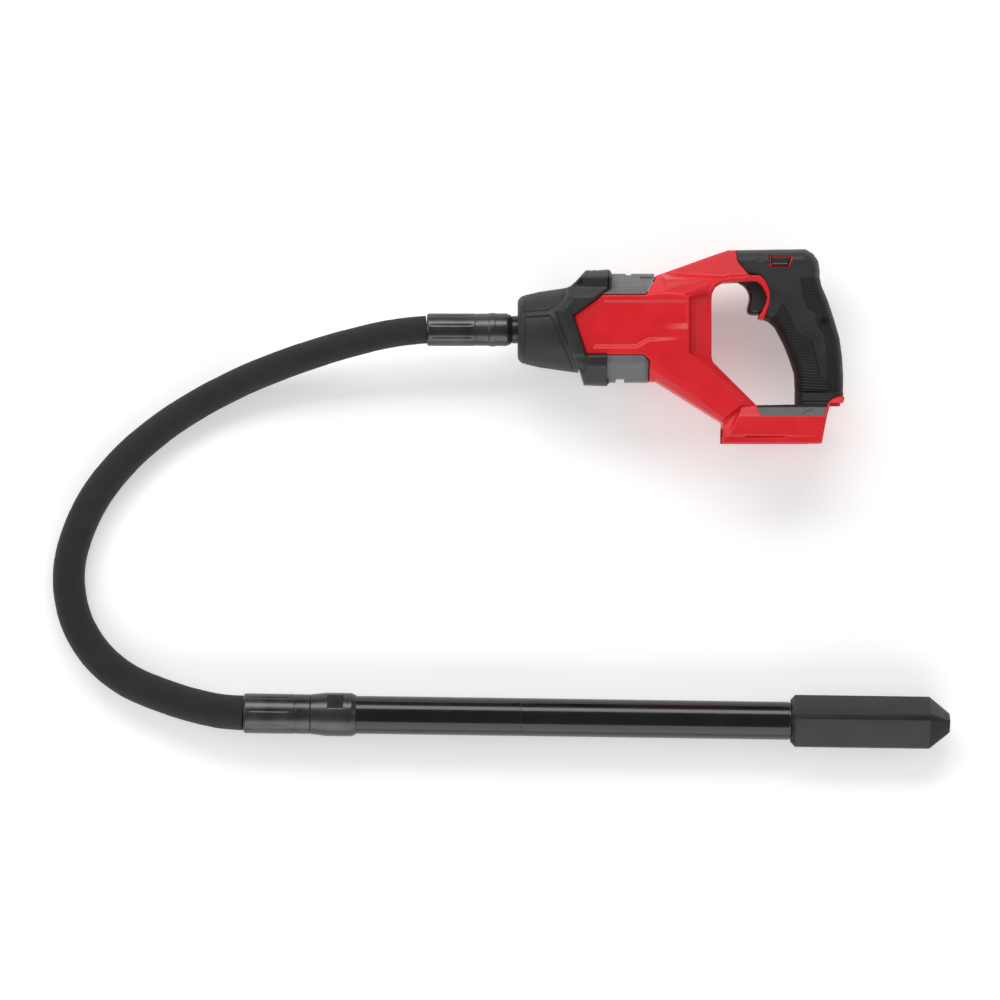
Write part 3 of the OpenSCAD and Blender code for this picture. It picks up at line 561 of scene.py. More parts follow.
HOSE_ROUTE = [
    [-135, 0, 38.8], [-158, -2, 38.3], [-181, -6, 36], [-203.5, -11.5, 32], [-225.5, -17.5, 27],
    [-247, -24, 21.8], [-268.5, -31.5, 16.6], [-289.5, -39.5, 11.8], [-311, -48.5, 7.6],
    [-331.5, -58.5, 4.2], [-351.5, -69.5, 1.8], [-371, -81.5, 0.4], [-389.5, -94.5, 0],
    [-407, -109, 0], [-423.5, -125, 0], [-438.5, -142.5, 0], [-452, -162.5, 0], [-463, -186, 0],
    [-471, -210.5, 0], [-473.5, -234, 0], [-471, -257, 0], [-464, -279, 0], [-452.5, -299, 0],
    [-437, -316, 0], [-418.5, -329.5, 0.2], [-397.5, -339.5, 1], [-375.5, -347.5, 2.6],
    [-353, -354, 4.8], [-330.5, -358.7, 6.9],
    [WAND_START.x / MM, WAND_START.y / MM, WAND_START.z / MM - 16.6],
]
HOSE_R_TOOL = 13.2
HOSE_R_HEAD = 16.6
HOSE_SIDES = 40
HOSE_STEPS = 8
WRAP_PITCH = 44
WRAP_LAP = 0.22
WRAP_STEP = 0.04
WRAP_SUNK = 0.25


def smooth_line(points, steps):
    """Catmull-Rom curve through the points."""
    p = [Vector(q) for q in points]
    p = [2 * p[0] - p[1], *p, 2 * p[-1] - p[-2]]
    out = []
    for a, b, c, d in zip(p, p[1:], p[2:], p[3:]):
        for k in range(steps):
            t = k / steps
            out.append(0.5 * (2 * b + (c - a) * t + (2 * a - 5 * b + 4 * c - d) * t * t
                              + (3 * b - a - 3 * c + d) * t**3))
    return out + [p[-2]]


def make_hose():
    line = smooth_line(HOSE_ROUTE, HOSE_STEPS)
    last = len(line) - 1
    radii = [HOSE_R_TOOL + (HOSE_R_HEAD - HOSE_R_TOOL) * i / last for i in range(last + 1)]
    centres, along, run = [], [], 0.0
    for i, p in enumerate(line):
        centres.append(Vector((p.x, p.y, max(0, p.z) + radii[i])))
        run += (centres[i] - centres[i - 1]).length if i else 0
        along.append(run)
    vertices, faces, uvs = [], [], []
    for i, centre in enumerate(centres):
        ahead = (centres[min(i + 1, last)] - centres[max(i - 1, 0)]).normalized()
        side = ahead.cross(Vector((0, 0, 1))).normalized()
        up = side.cross(ahead)
        for k in range(HOSE_SIDES):
            a = 2 * math.pi * k / HOSE_SIDES
            turn = (along[i] / WRAP_PITCH + k / HOSE_SIDES) % 1
            lap = WRAP_LAP * ((1 - turn) if turn > WRAP_STEP else turn / WRAP_STEP)
            slack = 0.12 * math.sin(along[i] / 31 + 2 * a) + 0.08 * math.sin(along[i] / 12.7 - 3 * a)
            r = radii[i] - WRAP_SUNK + lap + slack
            vertices.append(centre + r * (math.cos(a) * up + math.sin(a) * side))
    for i in range(last):
        for k in range(HOSE_SIDES):
            n = (k + 1) % HOSE_SIDES
            b, c = i * HOSE_SIDES, (i + 1) * HOSE_SIDES
            faces.append([b + k, b + n, c + n, c + k])
            uvs.append([(along[i + j] * 0.8, (k + m) * 2.0) for j, m in ((0, 0), (0, 1), (1, 1), (1, 0))])
    faces.append(list(range(HOSE_SIDES))[::-1])
    faces.append([last * HOSE_SIDES + k for k in range(HOSE_SIDES)])
    hose = make_piece("hose", [(vertices, faces)], make_hose_material(), Matrix.Scale(MM, 4),
                      stands_for=["hose_casing"])
    layer = hose.data.uv_layers.new(name="wrap")
    flat = [corner for face in uvs for corner in face]
    flat += [(0, 0)] * (len(layer.data) - len(flat))
    for loop, uv in zip(layer.data, flat):
        loop.uv = uv


# ---- motor unit: outlines shared by its pieces ----

GRIP_FRONT = [[160, 9], [165.5, 6.5], [171, 1.5], [179.5, -15], [185.5, -30.5], [189, -41.5]]
GRIP_BACK = [
    [235.5, -44], [234.5, -26], [232, -8], [226.5, 11], [221.5, 26], [215, 41.5], [213.5, 48.5],
    [213.5, 55.5], [212, 64.5], [207, 71.5], [200, 75.5],
]
CORE_BACK = [
    [232.3, -44], [231.3, -26.5], [229, -9], [223.6, 10], [218.5, 25], [212, 40.5], [210.5, 48],
    [210.5, 55.3], [209, 63], [205, 68.7], [199, 72.3],
]
HOUSING = [
    [134.5, 74], [127, 74], [111, 68.5], [61, 50.5], [58.5, 49.5], [57.5, 45], [49.5, 31.3],
    [8.5, 31.3], [-18, 12], [-6, -24.2], [47, -24.2], [53, -29.6], [52.8, -49], [60, -49],
    [121.5, -87.5], [121, -107], [213.5, -107], [218, -84], [222, -69], [234, -69],
    [235.5, -64.5], [235, -59.5], [232, -59.5], *CORE_BACK, [134.5, 71],
]
OPENING = [
    [122, 43.8], [115, 39.5], [111.5, 33], [111, 26], [111, -26], [112.5, -31], [153, -71.5],
    [189, -70.5], [190, -58], *reversed(GRIP_FRONT), [156, 9.8], [156, 12.5], [159, 17.4],
    [162.2, 24], [163.4, 29.2], [161.7, 34.7], [158, 41], [153.6, 44.7], [136, 44.5],
]
GRIP = [
    [134.5, 74.4], [136, 64], [145, 52], [148, 50.3], [157, 50], [162.2, 44.4], [165.8, 35.2],
    [165.8, 25], [163.4, 18.4], *GRIP_FRONT, [190, -58.5], [235, -59.5], *GRIP_BACK,
]
LOCK = [[166.5, 68], [186.5, 68], [183, 59], [167.2, 59]]
CORE = [
    [134, 71], *reversed(CORE_BACK), [232, -72], [193, -72], [193, -58], [192, -41],
    [188.7, -29.5], [182.5, -13.5], [173.5, 2.5], [166, 10], [155, 9], [150, 44], [134, 46],
]
# Dark base of the handle, above the foot and in front of the red ledge
BASE = [
    [184, -58.5], [240, -58.5], [240, -62.8], [229, -63.2], [224, -65.2], [219.6, -69.4],
    [218.9, -71], [184, -71],
]
GRIP_SCREW = (216.7, 7.7)
GRIP_BACK_SCREW = (199, 61)
SCREWS = [[118, 56], [103, -52], [131, -82.5], [211.5, -92], [83, 41], [83, -39]]
SCREW_WELL = 4.15
SCREW_SEAT = 15
WELL_MARGIN = 0.3
LOCK_RIM = 1.1

inside_housing = inside_of(HOUSING)
inside_opening = inside_of(OPENING)
inside_grip = inside_of(GRIP)
inside_core = inside_of(CORE)
inside_base = inside_of(BASE)
inside_lock = inside_of(LOCK)
inside_shell = all_of(inside_housing, not_in(inside_opening))
under_rubber = any_of(inside_grip, inside_base)

# Facets of the shell's side, as [x, y, height from the middle plane]
SHELL_FACETS = [
    # barrel side, and its sloping shoulder up to the arm
    [[-30, 40, 46], [92, 34, 46], [92, -26, 46], [-30, -26, 46]],
    [[49, 31.3, 46], [66, 33.6, 45.5], [62, 45.5, 30], [62.4, 52, 20], [55, 52, 20]],
    # notch, top facet, middle facet and corner facet of the upper arm
    [[62.3, 52, 20], [62, 45.5, 30], [67.6, 36.2, 43.5], [68.2, 46, 38.5]],
    [[64.5, 33.2, 45.9], [90.6, 32, 45.8], [84.8, 31.8, 45.5], [67.6, 36.2, 43.5]],
    [[62.3, 52, 20], [68.2, 46, 38.5], [117.5, 47, 29], [150, 47, 22], [150, 84, 13], [111, 70, 19]],
    [[67.6, 36.2, 43.5], [68.2, 46, 38.5], [117.5, 47, 29], [103, 42.3, 35], [84.8, 31.8, 45.5]],
    [[84.8, 31.8, 45.5], [103, 42.3, 35], [117.5, 47, 29], [126, 47, 27], [126, 36, 26],
     [108.3, 31.8, 31], [90.6, 27.6, 44.5]],
    # lower arm: broad facet, inner facet along the opening, and the strip along the outer edge
    [[46, -20, 46], [92, -20, 46], [90.6, -25, 45.5], [139, -72.2, 35], [133, -80, 36], [122, -87, 34],
     [113.8, -79.7, 35], [53.5, -38.9, 41], [52, -29, 44]],
    [[90.6, -24, 45.5], [110.3, -27.3, 31], [113, -30, 29.5], [156, -74, 29.5], [139, -72.2, 35]],
    [[52, -36, 42], [53.5, -38.9, 41], [113.8, -79.7, 35], [123.3, -85.7, 33], [125, -92, 27],
     [60, -52, 27], [50, -52, 25]],
    # recess beside the opening, steep at its front and flatter towards the opening
    [[90.4, 29.2, 39.5], [96.5, 30, 34], [96.5, -24.6, 34], [90.4, -23.4, 39.5]],
    [[96.5, 30, 34], [108.8, 31.4, 29.5], [96.5, -24.6, 34]],
    [[96.5, -24.6, 34], [108.8, 31.4, 29.5], [114, 33, 28.5], [114, -28, 28.5], [110.3, -27.3, 29]],
    # band that frames the trigger
    [[126, 40, 27], [126, 49.5, 27], [150, 50.4, 21.8], [150, 40, 21.8]],
    [[150, 60, 21.8], [150, 5, 21.2], [170, 5, 21.0], [170, 60, 21.4]],
    # foot: slope under the handle, broad side, bevel at its front, and its rail
    [[186, -59, 22], [240, -59, 22], [240, -72, 30.5], [186, -72, 30.5]],
    [[139, -72, 31], [240, -72, 31], [240, -81.5, 36.6], [134, -81.5, 36.6]],
    [[134, -81.5, 36.6], [240, -81.5, 36.6], [240, -99.6, 39], [127, -99.6, 38.6], [129.3, -88.5, 37.5]],
    [[139, -72, 31], [134, -81.5, 36.6], [129.3, -88.5, 37.5], [127, -99.6, 38.6], [117, -100, 34],
     [117, -88, 33], [124.2, -87.2, 33]],
    [[117, -99.8, 35], [127, -99.8, 39], [240, -99.8, 39.3], [240, -112, 38.2], [117, -112, 35]],
]
PANEL = [[-7.9, 9.6], [10.7, 25.2], [91.6, 25.2], [91.6, -9], [52, -10.4], [40.7, -16.8], [1.1, -16.8]]
CHANNEL_BACK = 204
CHANNEL_TOP = -93
CHANNEL_NECK = -101.5
CHANNEL_NECK_HALF = 25
CHANNEL_HALF = 31
SHELL_WALL = 3.2
PANEL_DEPTH = 2.3
SKIRT_SEAT = 2.4
LIP_HEIGHT = 0.9
TRIGGER_POCKET = [[132, 11.5], [182, 11.5], [182, 46.5], [132, 46.5]]
POCKET_HALF = 11.2

GRIP_BODY = [
    [110, 74.6], *reversed(GRIP_BACK), [235.4, -100], [189.8, -100], [190, -58.5],
    *reversed(GRIP_FRONT), [152, 9.4], [151, 30], [150, 45], [110, 44],
]
GRIP_HALF = 20.4
CORE_HALF = 15
RUBBER_THICK = 2.4
GRIP_ROUND = 13
inside_body = inside_of(GRIP_BODY)
inside_pocket = inside_of(TRIGGER_POCKET)


def grip_form(x, y):
    """Height of the handle's soft, round form."""
    e = np.clip(inside_body(x, y) / GRIP_ROUND, 0, 1)
    return GRIP_HALF * (1 - (1 - e) ** 2.3) ** (1 / 2.1)


def make_shell_top():
    field = facet_field(SHELL_FACETS, HOUSING)
    panel = inside_of(PANEL)
    skirt = inside_of(SKIRT_OUTLINE)
    rail_slot = off_line([[143, -100.9], [179.5, -100.9]])

    def top(x, y):
        z = field(x, y)
        # sunken panel, which fades out at its lower rear corner
        fade = np.clip((x - 56) / 30, 0, 1) * np.clip((5 - y) / 6, 0, 1)
        z = z - PANEL_DEPTH * step_at(panel(x, y), 4.6) * (1 - fade) * np.clip((91 - x) / 4, 0, 1)
        # raised lip round the opening's upper front corner
        reach = np.clip((y - 26) / 8, 0, 1) * np.clip((150 - x) / 6, 0, 1)
        z = z + LIP_HEIGHT * step_at(3.3 + inside_opening(x, y), 0.9) * reach
        z = z - SKIRT_SEAT * step_at(skirt(x, y) - 0.6, 0.5)
        z = z + groove(rail_slot(x, y), 0.8, 1.2)
        return z - edge_drop(inside_shell(x, y), 1.6) - edge_drop(-under_rubber(x, y), 0.6)

    return top


def shell_bottom(top):
    """Hollow behind a wall, open for the trigger and for the battery's slide."""

    def bottom(x, y):
        z = np.where(inside_shell(x, y) > SHELL_WALL, top(x, y) - SHELL_WALL, 0)
        z = np.where(inside_pocket(x, y) > 0, np.maximum(z, POCKET_HALF), z)
        rail = (x < CHANNEL_BACK) & (y < CHANNEL_TOP)
        z = np.where(rail & (y > CHANNEL_NECK), CHANNEL_HALF, z)
        return np.where(rail & (y <= CHANNEL_NECK), CHANNEL_NECK_HALF, z)

    return bottom


def well_floor(spot, sides=32):
    """The round floor of a screw's well."""
    radius = SCREW_WELL + WELL_MARGIN
    angles = [2 * math.pi * k / sides for k in range(sides)]
    rim = [(spot[0] + radius * math.cos(a), spot[1] + radius * math.sin(a), SCREW_SEAT) for a in angles]
    return rim, [list(range(sides))]


def make_housing():
    top = make_shell_top()
    bottom = shell_bottom(top)
    lock_hole = grown(inside_lock, 0.1)
    plain = all_of(inside_shell, not_in(under_rubber))
    rim_area = all_of(grown(inside_lock, LOCK_RIM), not_in(lock_hole))
    rim = relief(rim_area, grown(grip_form, 0.15), level(11), LOCK, step=0.35)

    def core_top(x, y):
        return np.minimum(CORE_HALF, grip_form(x, y) - RUBBER_THICK)

    def core_bottom(x, y):
        hollow = np.where(inside_core(x, y) > 3, CORE_HALF - 2.8, 0)
        return np.where(inside_pocket(x, y) > 0, POCKET_HALF, hollow)

    core = relief(all_of(inside_core, not_in(lock_hole), not_in(inside_opening)), core_top, core_bottom,
                  CORE)
    left = relief(plain, top, bottom, HOUSING, step=0.6)
    make_piece("left_shell", [left, rim, core], RED, stands_for=["left_housing"])
    wells = clear_of(*[(x, y, SCREW_WELL) for x, y in SCREWS])

    def boss_bottom(x, y):
        return np.where(wells(x, y) < 2.5, SCREW_SEAT, bottom(x, y))

    right = relief(all_of(plain, wells), top, boss_bottom, HOUSING, step=0.6)
    floors = [well_floor(spot) for spot in SCREWS]
    parts = [mirrored(part) for part in [right, rim, core, *floors]]
    make_piece("right_shell", parts, RED, stands_for=["right_housing"])


# ---- grip ----

REAR_STRIP = [
    [194.6, 48.6], [230, 48.6], [245, 0], [245, -58.8], [222.5, -58.8], [219.8, -47], [219.2, -20],
    [216.6, -5], [211, 2.5], [209.3, 8.3], [210.3, 13.6], [201.8, 18.6], [197.4, 31], [195.6, 42],
]
FRONT_STRIP = [
    [178.2, 23.4], [173.6, 16], [160, 2], [180, -58.8], [224, -58.8], [219.8, -48.5], [217, -47.4],
    [213.4, -43.4], [206.6, -12.5], [203.6, -8.4], [189.8, -1.8], [184.2, 14],
]
STRIP_SUNK = 1.0
DOT_PITCH = 2.7
DOT_HEIGHT = 0.75


def make_grip():
    rear = inside_of(REAR_STRIP)
    front = inside_of(FRONT_STRIP)
    icon = clear_of((156.4, 64.8, 1.6))

    def top(x, y):
        z = grip_form(x, y)
        strip = np.maximum(rear(x, y), front(x, y))
        z = z - STRIP_SUNK * step_at(strip, 1.4)
        z = z + groove(rear(x, y), 0.5, 0.5) + groove(front(x, y), 0.5, 0.5)
        # dots, which join into ribs low on the front strip
        rows = 0.5 + 0.5 * np.cos(2 * np.pi * (y + 0.06 * x) / DOT_PITCH)
        posts = 0.5 + 0.5 * np.cos(2 * np.pi * (x + 0.28 * y) / DOT_PITCH)
        joined = np.clip((222 - x) / 14, 0, 1) * np.clip((-20 - y) / 20, 0, 1)
        dots = rows * (posts * (1 - joined) + joined)
        z = z + DOT_HEIGHT * dots * step_at(strip - 1.1, 1.0)
        z = z + groove(np.maximum(icon(x, y), 0), 0.6, 0.4)
        seam = np.minimum(inside_grip(x, y), -inside_lock(x, y) - LOCK_RIM)
        return np.maximum(z - edge_drop(seam, 0.7), 0.25)

    def bottom(x, y):
        shell = np.minimum(grip_form(x, y) - SHELL_WALL, CORE_HALF)
        return np.where(inside_core(x, y) > 0.4, np.maximum(shell, 0), 0)

    area = all_of(inside_grip, not_in(grown(inside_lock, LOCK_RIM + 0.1)))
    for side, screw in (("left", GRIP_SCREW), ("right", GRIP_BACK_SCREW)):
        form = relief(all_of(area, clear_of((*screw, SCREW_WELL))), top, bottom, GRIP, step=0.45)
        parts = [form, well_floor(screw)]
        if side == "right":
            parts = [mirrored(part) for part in parts]
        piece = make_piece(side + "_grip_rubber", parts, RUBBER, stands_for=[side + "_grip"])
        paint(piece, DOTTED_RUBBER, any_of(rear, front))


# ---- skirt, frame and bumper ----

SKIRT_OUTLINE = [
    [153, -71.2], [190, -70.2], [219.2, -70.6], [216.2, -81.4], [158.6, -81.4], [155, -78.4],
]
BASE_OUTLINE = [
    [189.6, -58.2], [235.2, -58.8], [235.2, -62.5], [229, -63.1], [224, -65.1], [219.7, -69.3],
    [219, -71], [189.8, -71],
]
# The strip is dark above this height
STRIP_SHADE = -73.5
TRIM_THICK = 2.8
STRIP_SECTION = [[-82, 37.4], [-72.4, 31.4], [-70, 29.6]]
BASE_SECTION = [[-71.6, 27.4], [-68.2, 26.2], [-66.8, 23.6], [-59.6, 21.6], [-59, 19.4], [-58, 18.6]]


def wrapped(points, outline, round_core):
    """A trim that follows a section across Y; one round the core reaches in to the middle plane."""
    area = all_of(inside_of(outline), not_in(grown(inside_opening, -0.2)))
    section = section_of(points, 0.4)
    wave = off_line([[194.8, -81], [198.4, -76.8], [200.6, -76.2], [205.4, -74.2]])

    def top(x, y):
        z = section(x, y)
        side = np.clip(inside_body(x, y) / GRIP_ROUND, 0, 1)
        z = np.where(y > -71, z * (1 - (1 - side) ** 3) ** (1 / 2.4), z)
        z = z + groove(wave(x, y), 0.7, 0.5)
        return np.maximum(z - edge_drop(area(x, y), 0.7), 0.3)

    def bottom(x, y):
        sheet = np.maximum(top(x, y) - TRIM_THICK, 0)
        return np.where(round_core & (inside_core(x, y) < 0.3), 0, sheet)

    return relief(area, top, bottom, outline, step=0.45)


def make_skirt():
    strip = wrapped(STRIP_SECTION, SKIRT_OUTLINE, round_core=False)
    base = wrapped(BASE_SECTION, BASE_OUTLINE, round_core=True)
    for node in ("left_skirt", "right_skirt"):
        if node == "right_skirt":
            strip, base = mirrored(strip), mirrored(base)
        trim = make_piece(node + "_trim", [strip], SKIRT, stands_for=[node])
        paint(trim, DOTTED_RUBBER, lambda x, y: y - STRIP_SHADE)
        make_piece(node + "_block", [base], DOTTED_RUBBER, stands_for=[node], slot="skirt")


FRAME_TOP = [[-8.5, 31.8], [49.1, 31.8], [57, 45.2], [57.8, 49.7], [57.6, 51.8], [-8.5, 51.8]]
FRAME_BOTTOM = [[-8.5, -24.7], [46.6, -24.7], [52.4, -29.9], [52.2, -49.6], [-8.5, -49.6]]


def make_frame():
    section = section_of([[30, 46.2], [31.3, 46.2], [37.8, 40.5], [52, 20], [55, 14]], 0.8, 5)
    lower = section_of([[-52, 15], [-49.6, 22], [-33, 43.2], [-24.2, 44.6], [-22, 44.6]], 0.8, 5)
    pit = inside_of([[44.4, 48.4], [56.4, 48.2], [50.2, 39.4]])
    notch = inside_of([[31, 50.4], [36.4, 50.4], [36.4, 56], [31, 56]])
    strap = inside_of([[21.6, -60], [21.6, -46.4], [30.4, -46.4], [30.4, -60]])
    upper_area = all_of(inside_of(FRAME_TOP), not_in(notch))
    lower_area = all_of(inside_of(FRAME_BOTTOM), not_in(strap))
    bead = off_line([[46, 31.9], [49.2, 31.9], [56.6, 45.2]])

    def upper_top(x, y):
        z = section(x, y) - 2.6 * step_at(pit(x, y), 1.6)
        z = z - 0.7 * step_at(2.2 - bead(x, y), 1.2) + groove(y - 37.8, 0.5, 0.5)
        return z - edge_drop(upper_area(x, y), 0.9)

    def lower_top(x, y):
        side = np.clip((x - 47.5) / 4.5, 0, 1)
        z = lower(x, y) - 3.0 * side**1.2
        return z - edge_drop(lower_area(x, y), 0.9)

    upper = relief(upper_area, upper_top, level(0), FRAME_TOP, step=0.5)
    under = relief(lower_area, lower_top, level(0), FRAME_BOTTOM, step=0.5)
    parts = [upper, under, mirrored(upper), mirrored(under)]
    make_piece("motor_frame_cover", parts, FRAME, stands_for=["motor_frame"])


BUMPER_AREA = [
    [-21.6, 39], [-15, 44.8], [-7.8, 53], [-6.6, 54.4], [-3.4, 54.9], [-2.4, 54.4], [3, 54.9], [4, 54.5],
    [9.6, 55.1], [14.6, 55.6], [16.6, 54.2], [17.6, 51.5], [17.4, 40], [16.4, 37.2], [8.4, 31.5],
    [-17.8, 12.1], [-5.8, -24.4], [13, -24.4], [13.4, -48.5], [15.6, -50.6], [13.6, -52.8],
    [-7.6, -52], [-12.2, -36.6], [-16, -31.4], [-35.6, 16.6], [-25.4, 28.6], [-23.6, 39],
]
BLOCK_SECTION = [
    [-56, 20], [-53, 22], [-50.5, 27.5], [-36.5, 46], [-34.5, 47.4], [-26.5, 48.2], [-24.5, 51.4],
    [29, 51.4], [38.4, 45.6], [48, 47], [53.6, 36], [56, 27],
]
FRONT_FACET = 6.2
RIB_PITCH = 6.2
RIB_HEIGHT = 0.5


def make_bumper():
    area = inside_of(BUMPER_AREA)
    section = section_of(BLOCK_SECTION, 0.9)
    front = off_line([[-20, 43], [-23.6, 39], [-25.4, 28.6], [-35.6, 16.6], [-16, -31.4], [-12.2, -36.6]])
    back = off_line([[16.4, 37.2], [8.4, 31.5], [-17.8, 12.1], [-5.8, -24.4]])
    pit_top = inside_of([[-14.6, 40.6], [-10.4, 46], [-9.4, 39.6]])
    pit_low = inside_of([[-13.2, -32], [-9.8, -33.4], [-10.6, -37.4], [-12.2, -36.6]])

    def top(x, y):
        z = section(x, y)
        facet = FRONT_FACET - front(x, y)
        z = z - 0.55 * (facet + np.sqrt(facet * facet + 0.6))
        z = z - 2.2 * step_at(1.7 - back(x, y), 1.6)
        z = z - 2.6 * step_at(pit_top(x, y), 1.6) - 2.2 * step_at(pit_low(x, y), 1.6)
        ribs = np.cos(2 * np.pi * (x - 0.2) / RIB_PITCH) * step_at(y - 49.4, 1.4) * step_at(13.2 - x, 1.0)
        z = z + RIB_HEIGHT * ribs
        z = z + groove(np.abs(x - 14.4) + 50 * (y < 38), 0.8, 2.2)
        return z - edge_drop(area(x, y), 1.6)

    part = relief(area, top, level(0), BUMPER_AREA, step=0.5)
    make_piece("bumper_rubber", [part, mirrored(part)], BUMPER, stands_for=["bumper_collar"])


# ---- turned pieces of the motor unit ----


def make_nose():
    line = [(-70, 13.3), (-70, 25.6), (-69.4, 28), (-66.8, 31), (-63.4, 32.4), (-50.5, 35.6), (-23, 39.6),
            (-13, 40.6)]
    profile = dense(rounded(line, 2.5), 0.5)
    upper = [[-62, 16.3], [-41.9, 17.6], [-27.6, 29.7], [-25.9, 38.1]]
    lower = [[-62, 10.8], [-40.2, 12.1], [-36, 5.4], [-18.4, -38.2]]
    lines = [off_line(upper), off_line(lower)]
    panels = [inside_of([*upper, [-26, 50], [-62, 50]]), inside_of([*lower, [-18, -50], [-62, -50]])]

    def shape(x, a, r):
        y = r * np.sin(a)
        ring = r + groove(x + 63.2, 0.5, 0.8)
        lined = ring + sum(groove(line(x, y), 0.65, 1.1) for line in lines)
        weave = 0.12 * np.sin(2 * np.pi * x / 1.7) * np.sin(a * 120)
        grain = np.max([step_at(panel(x, y) - 0.8, 0.8) for panel in panels], axis=0)
        return np.where(x < -64, ring, lined + grain * (weave - 0.3))

    make_piece("nose_cover", [turned(profile, 420, shape)], NOSE, stands_for=["nose_cone"])


CRIMPS = 8
CRIMP_DEPTH = 0.45
CRIMP_WIDTH = 0.055


def crimped(start, end, phase=0.26):
    """Lengthwise crimp lines round a ferrule between two stations."""
    pitch = 2 * np.pi / CRIMPS

    def shape(x, a, r):
        inside = np.clip(np.minimum((x - start) / 2, (end - x) / 2), 0, 1)
        turn = (a - phase) / pitch
        off = np.abs(turn - np.round(turn)) * pitch
        return r - CRIMP_DEPTH * inside * np.exp(-((off / CRIMP_WIDTH) ** 2))

    return shape


def make_drive_ferrule():
    line = [(-153, 12), (-155, 13.2), (-155, 14.4), (-153.4, 15.3), (-110, 15.3), (-109.4, 14.9),
            (-107.8, 14.9), (-107, 15.2), (-97.4, 15.2), (-96, 15.8), (-91.6, 15.8), (-90.4, 15.4),
            (-80.2, 15.4), (-75.6, 13.2), (-75.6, 8)]
    part = turned(dense(rounded(line, 0.5), 2.0), 240, crimped(-151, -112))
    make_piece("drive_ferrule_steel", [part], FERRULE, stands_for=["drive_ferrule"])
    neck = rounded([(-78, 8), (-78, 12.2), (-75.2, 12.2), (-74.8, 13), (-60, 13)], 0.3)
    make_piece("neck_tube", [turned(neck)], DARK_STEEL, stands_for=["coupling_neck"],
               slot="machined_steel")


# ---- trigger and lock button ----

TRIGGER_OUTLINE = [
    [136, 46], [136.6, 43.4], [140, 41.6], [142.8, 39.4], [145, 36.4], [146.4, 33], [146.8, 30],
    [146.5, 26], [145.6, 22.6], [144.8, 19.5], [144.9, 17], [145.6, 15], [147.4, 13.7], [150, 13.3],
    [169, 13.2], [169, 46],
]
TRIGGER_HALF = 10.5
STEM_Y = 30


def make_trigger():
    area = inside_of(TRIGGER_OUTLINE)
    face = inside_of([*TRIGGER_OUTLINE[:-2], [190, 13.2], [190, 60], [136, 60]])
    ridge = off_line([[139, 40.4], [146.8, 39], [151.6, 33.6], [152.8, 28], [151, 21], [149.6, 16.4]])
    cavity = inside_of([[150, 20], [172, 20], [172, 40], [150, 40]])

    def top(x, y):
        e = np.clip(face(x, y) / 6.0, 0, 1)
        z = TRIGGER_HALF * np.sqrt(1 - (1 - e) ** 2 * 0.96)
        return z + groove(ridge(x, y), 0.8, 0.35)

    def bottom(x, y):
        return np.where(cavity(x, y) > 0, 6.0, 0.0)

    half = relief(area, top, bottom, TRIGGER_OUTLINE, step=0.35)
    stem = turned(rounded([(149, 0.01), (149, 3), (190.5, 3), (191, 2.5), (191, 0.01)], 0.3), 32)
    stem = ([(x, y + STEM_Y, z) for x, y, z in stem[0]], stem[1])
    make_piece("trigger_lever", [half, mirrored(half), stem], TRIGGER, body="trigger_body",
               stands_for=["trigger"])


def make_spring():
    """The return spring as a fixed coil; on the real tool it shortens towards the switch as the trigger is pulled.
    """
    turns, steps, sides = 6, 28, 10
    start, end = 150.8, 185.3
    reach, wire = 4.4, 0.6
    count = turns * steps
    vertices = []
    for i in range(count + 1):
        a = 2 * math.pi * i / steps
        out = Vector((0, math.cos(a), math.sin(a)))
        centre = Vector((start + (end - start) * i / count, STEM_Y, 0)) + reach * out
        for k in range(sides):
            b = 2 * math.pi * k / sides
            vertices.append(centre + wire * (math.cos(b) * out + math.sin(b) * Vector((1, 0, 0))))
    faces = ring_faces(count + 1, sides)
    faces.append(list(range(sides)))
    faces.append([count * sides + k for k in range(sides)][::-1])
    spring = make_piece("return_spring", [(vertices, faces)], BY_SLOT["spring_steel"],
                        stands_for=["trigger_spring"])
    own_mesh(spring)


def make_lock():
    area = inside_of([[166.9, 67.7], [186, 67.7], [182.8, 59.3], [167.6, 59.3]])
    ridge = off_line([[168.6, 62.2], [183, 62.2]])

    def top(x, y):
        return 18.6 + groove(ridge(x, y), 1.2, 0.5) - edge_drop(area(x, y), 1.1)

    def bottom(x, y):
        return -24.0 + edge_drop(area(x, y), 1.1)

    part = relief(area, top, bottom, [[166, 59], [187, 68]], step=0.4)
    make_piece("lock_slider", [part], TRIGGER, body="lock_body", stands_for=["lock_button"])


# ---- wand ----

HEAD_ROLL = 31
HEAD_START = 515
HEAD_LENGTH = 150.5
HEAD_HALF = 19.5
HEAD_CHAMFER = 4.1
HEAD_TIP = 19.5
HEAD_TIP_HALF = 6.5
FLAT_X = (79, 94)
FLAT_TURN = 42
FLAT_REACH = 18.7
PIPE_R = 18
PIPE_BORE_R = 16
PIPE_SEAM = 261


def make_head_ferrule():
    line = [(2, 14), (0, 15.8), (0, 17.6), (1.6, 18.8), (47.4, 18.8), (48, 18.5), (49.2, 18.5),
            (49.8, 18.7), (62.3, 18.7), (62.8, 18.3), (62.8, 8)]
    part = turned(dense(rounded(line, 0.4), 2.0), 240, crimped(4, 44, phase=0.16))
    make_piece("head_ferrule_steel", [part], FERRULE, WAND, stands_for=["head_ferrule"])


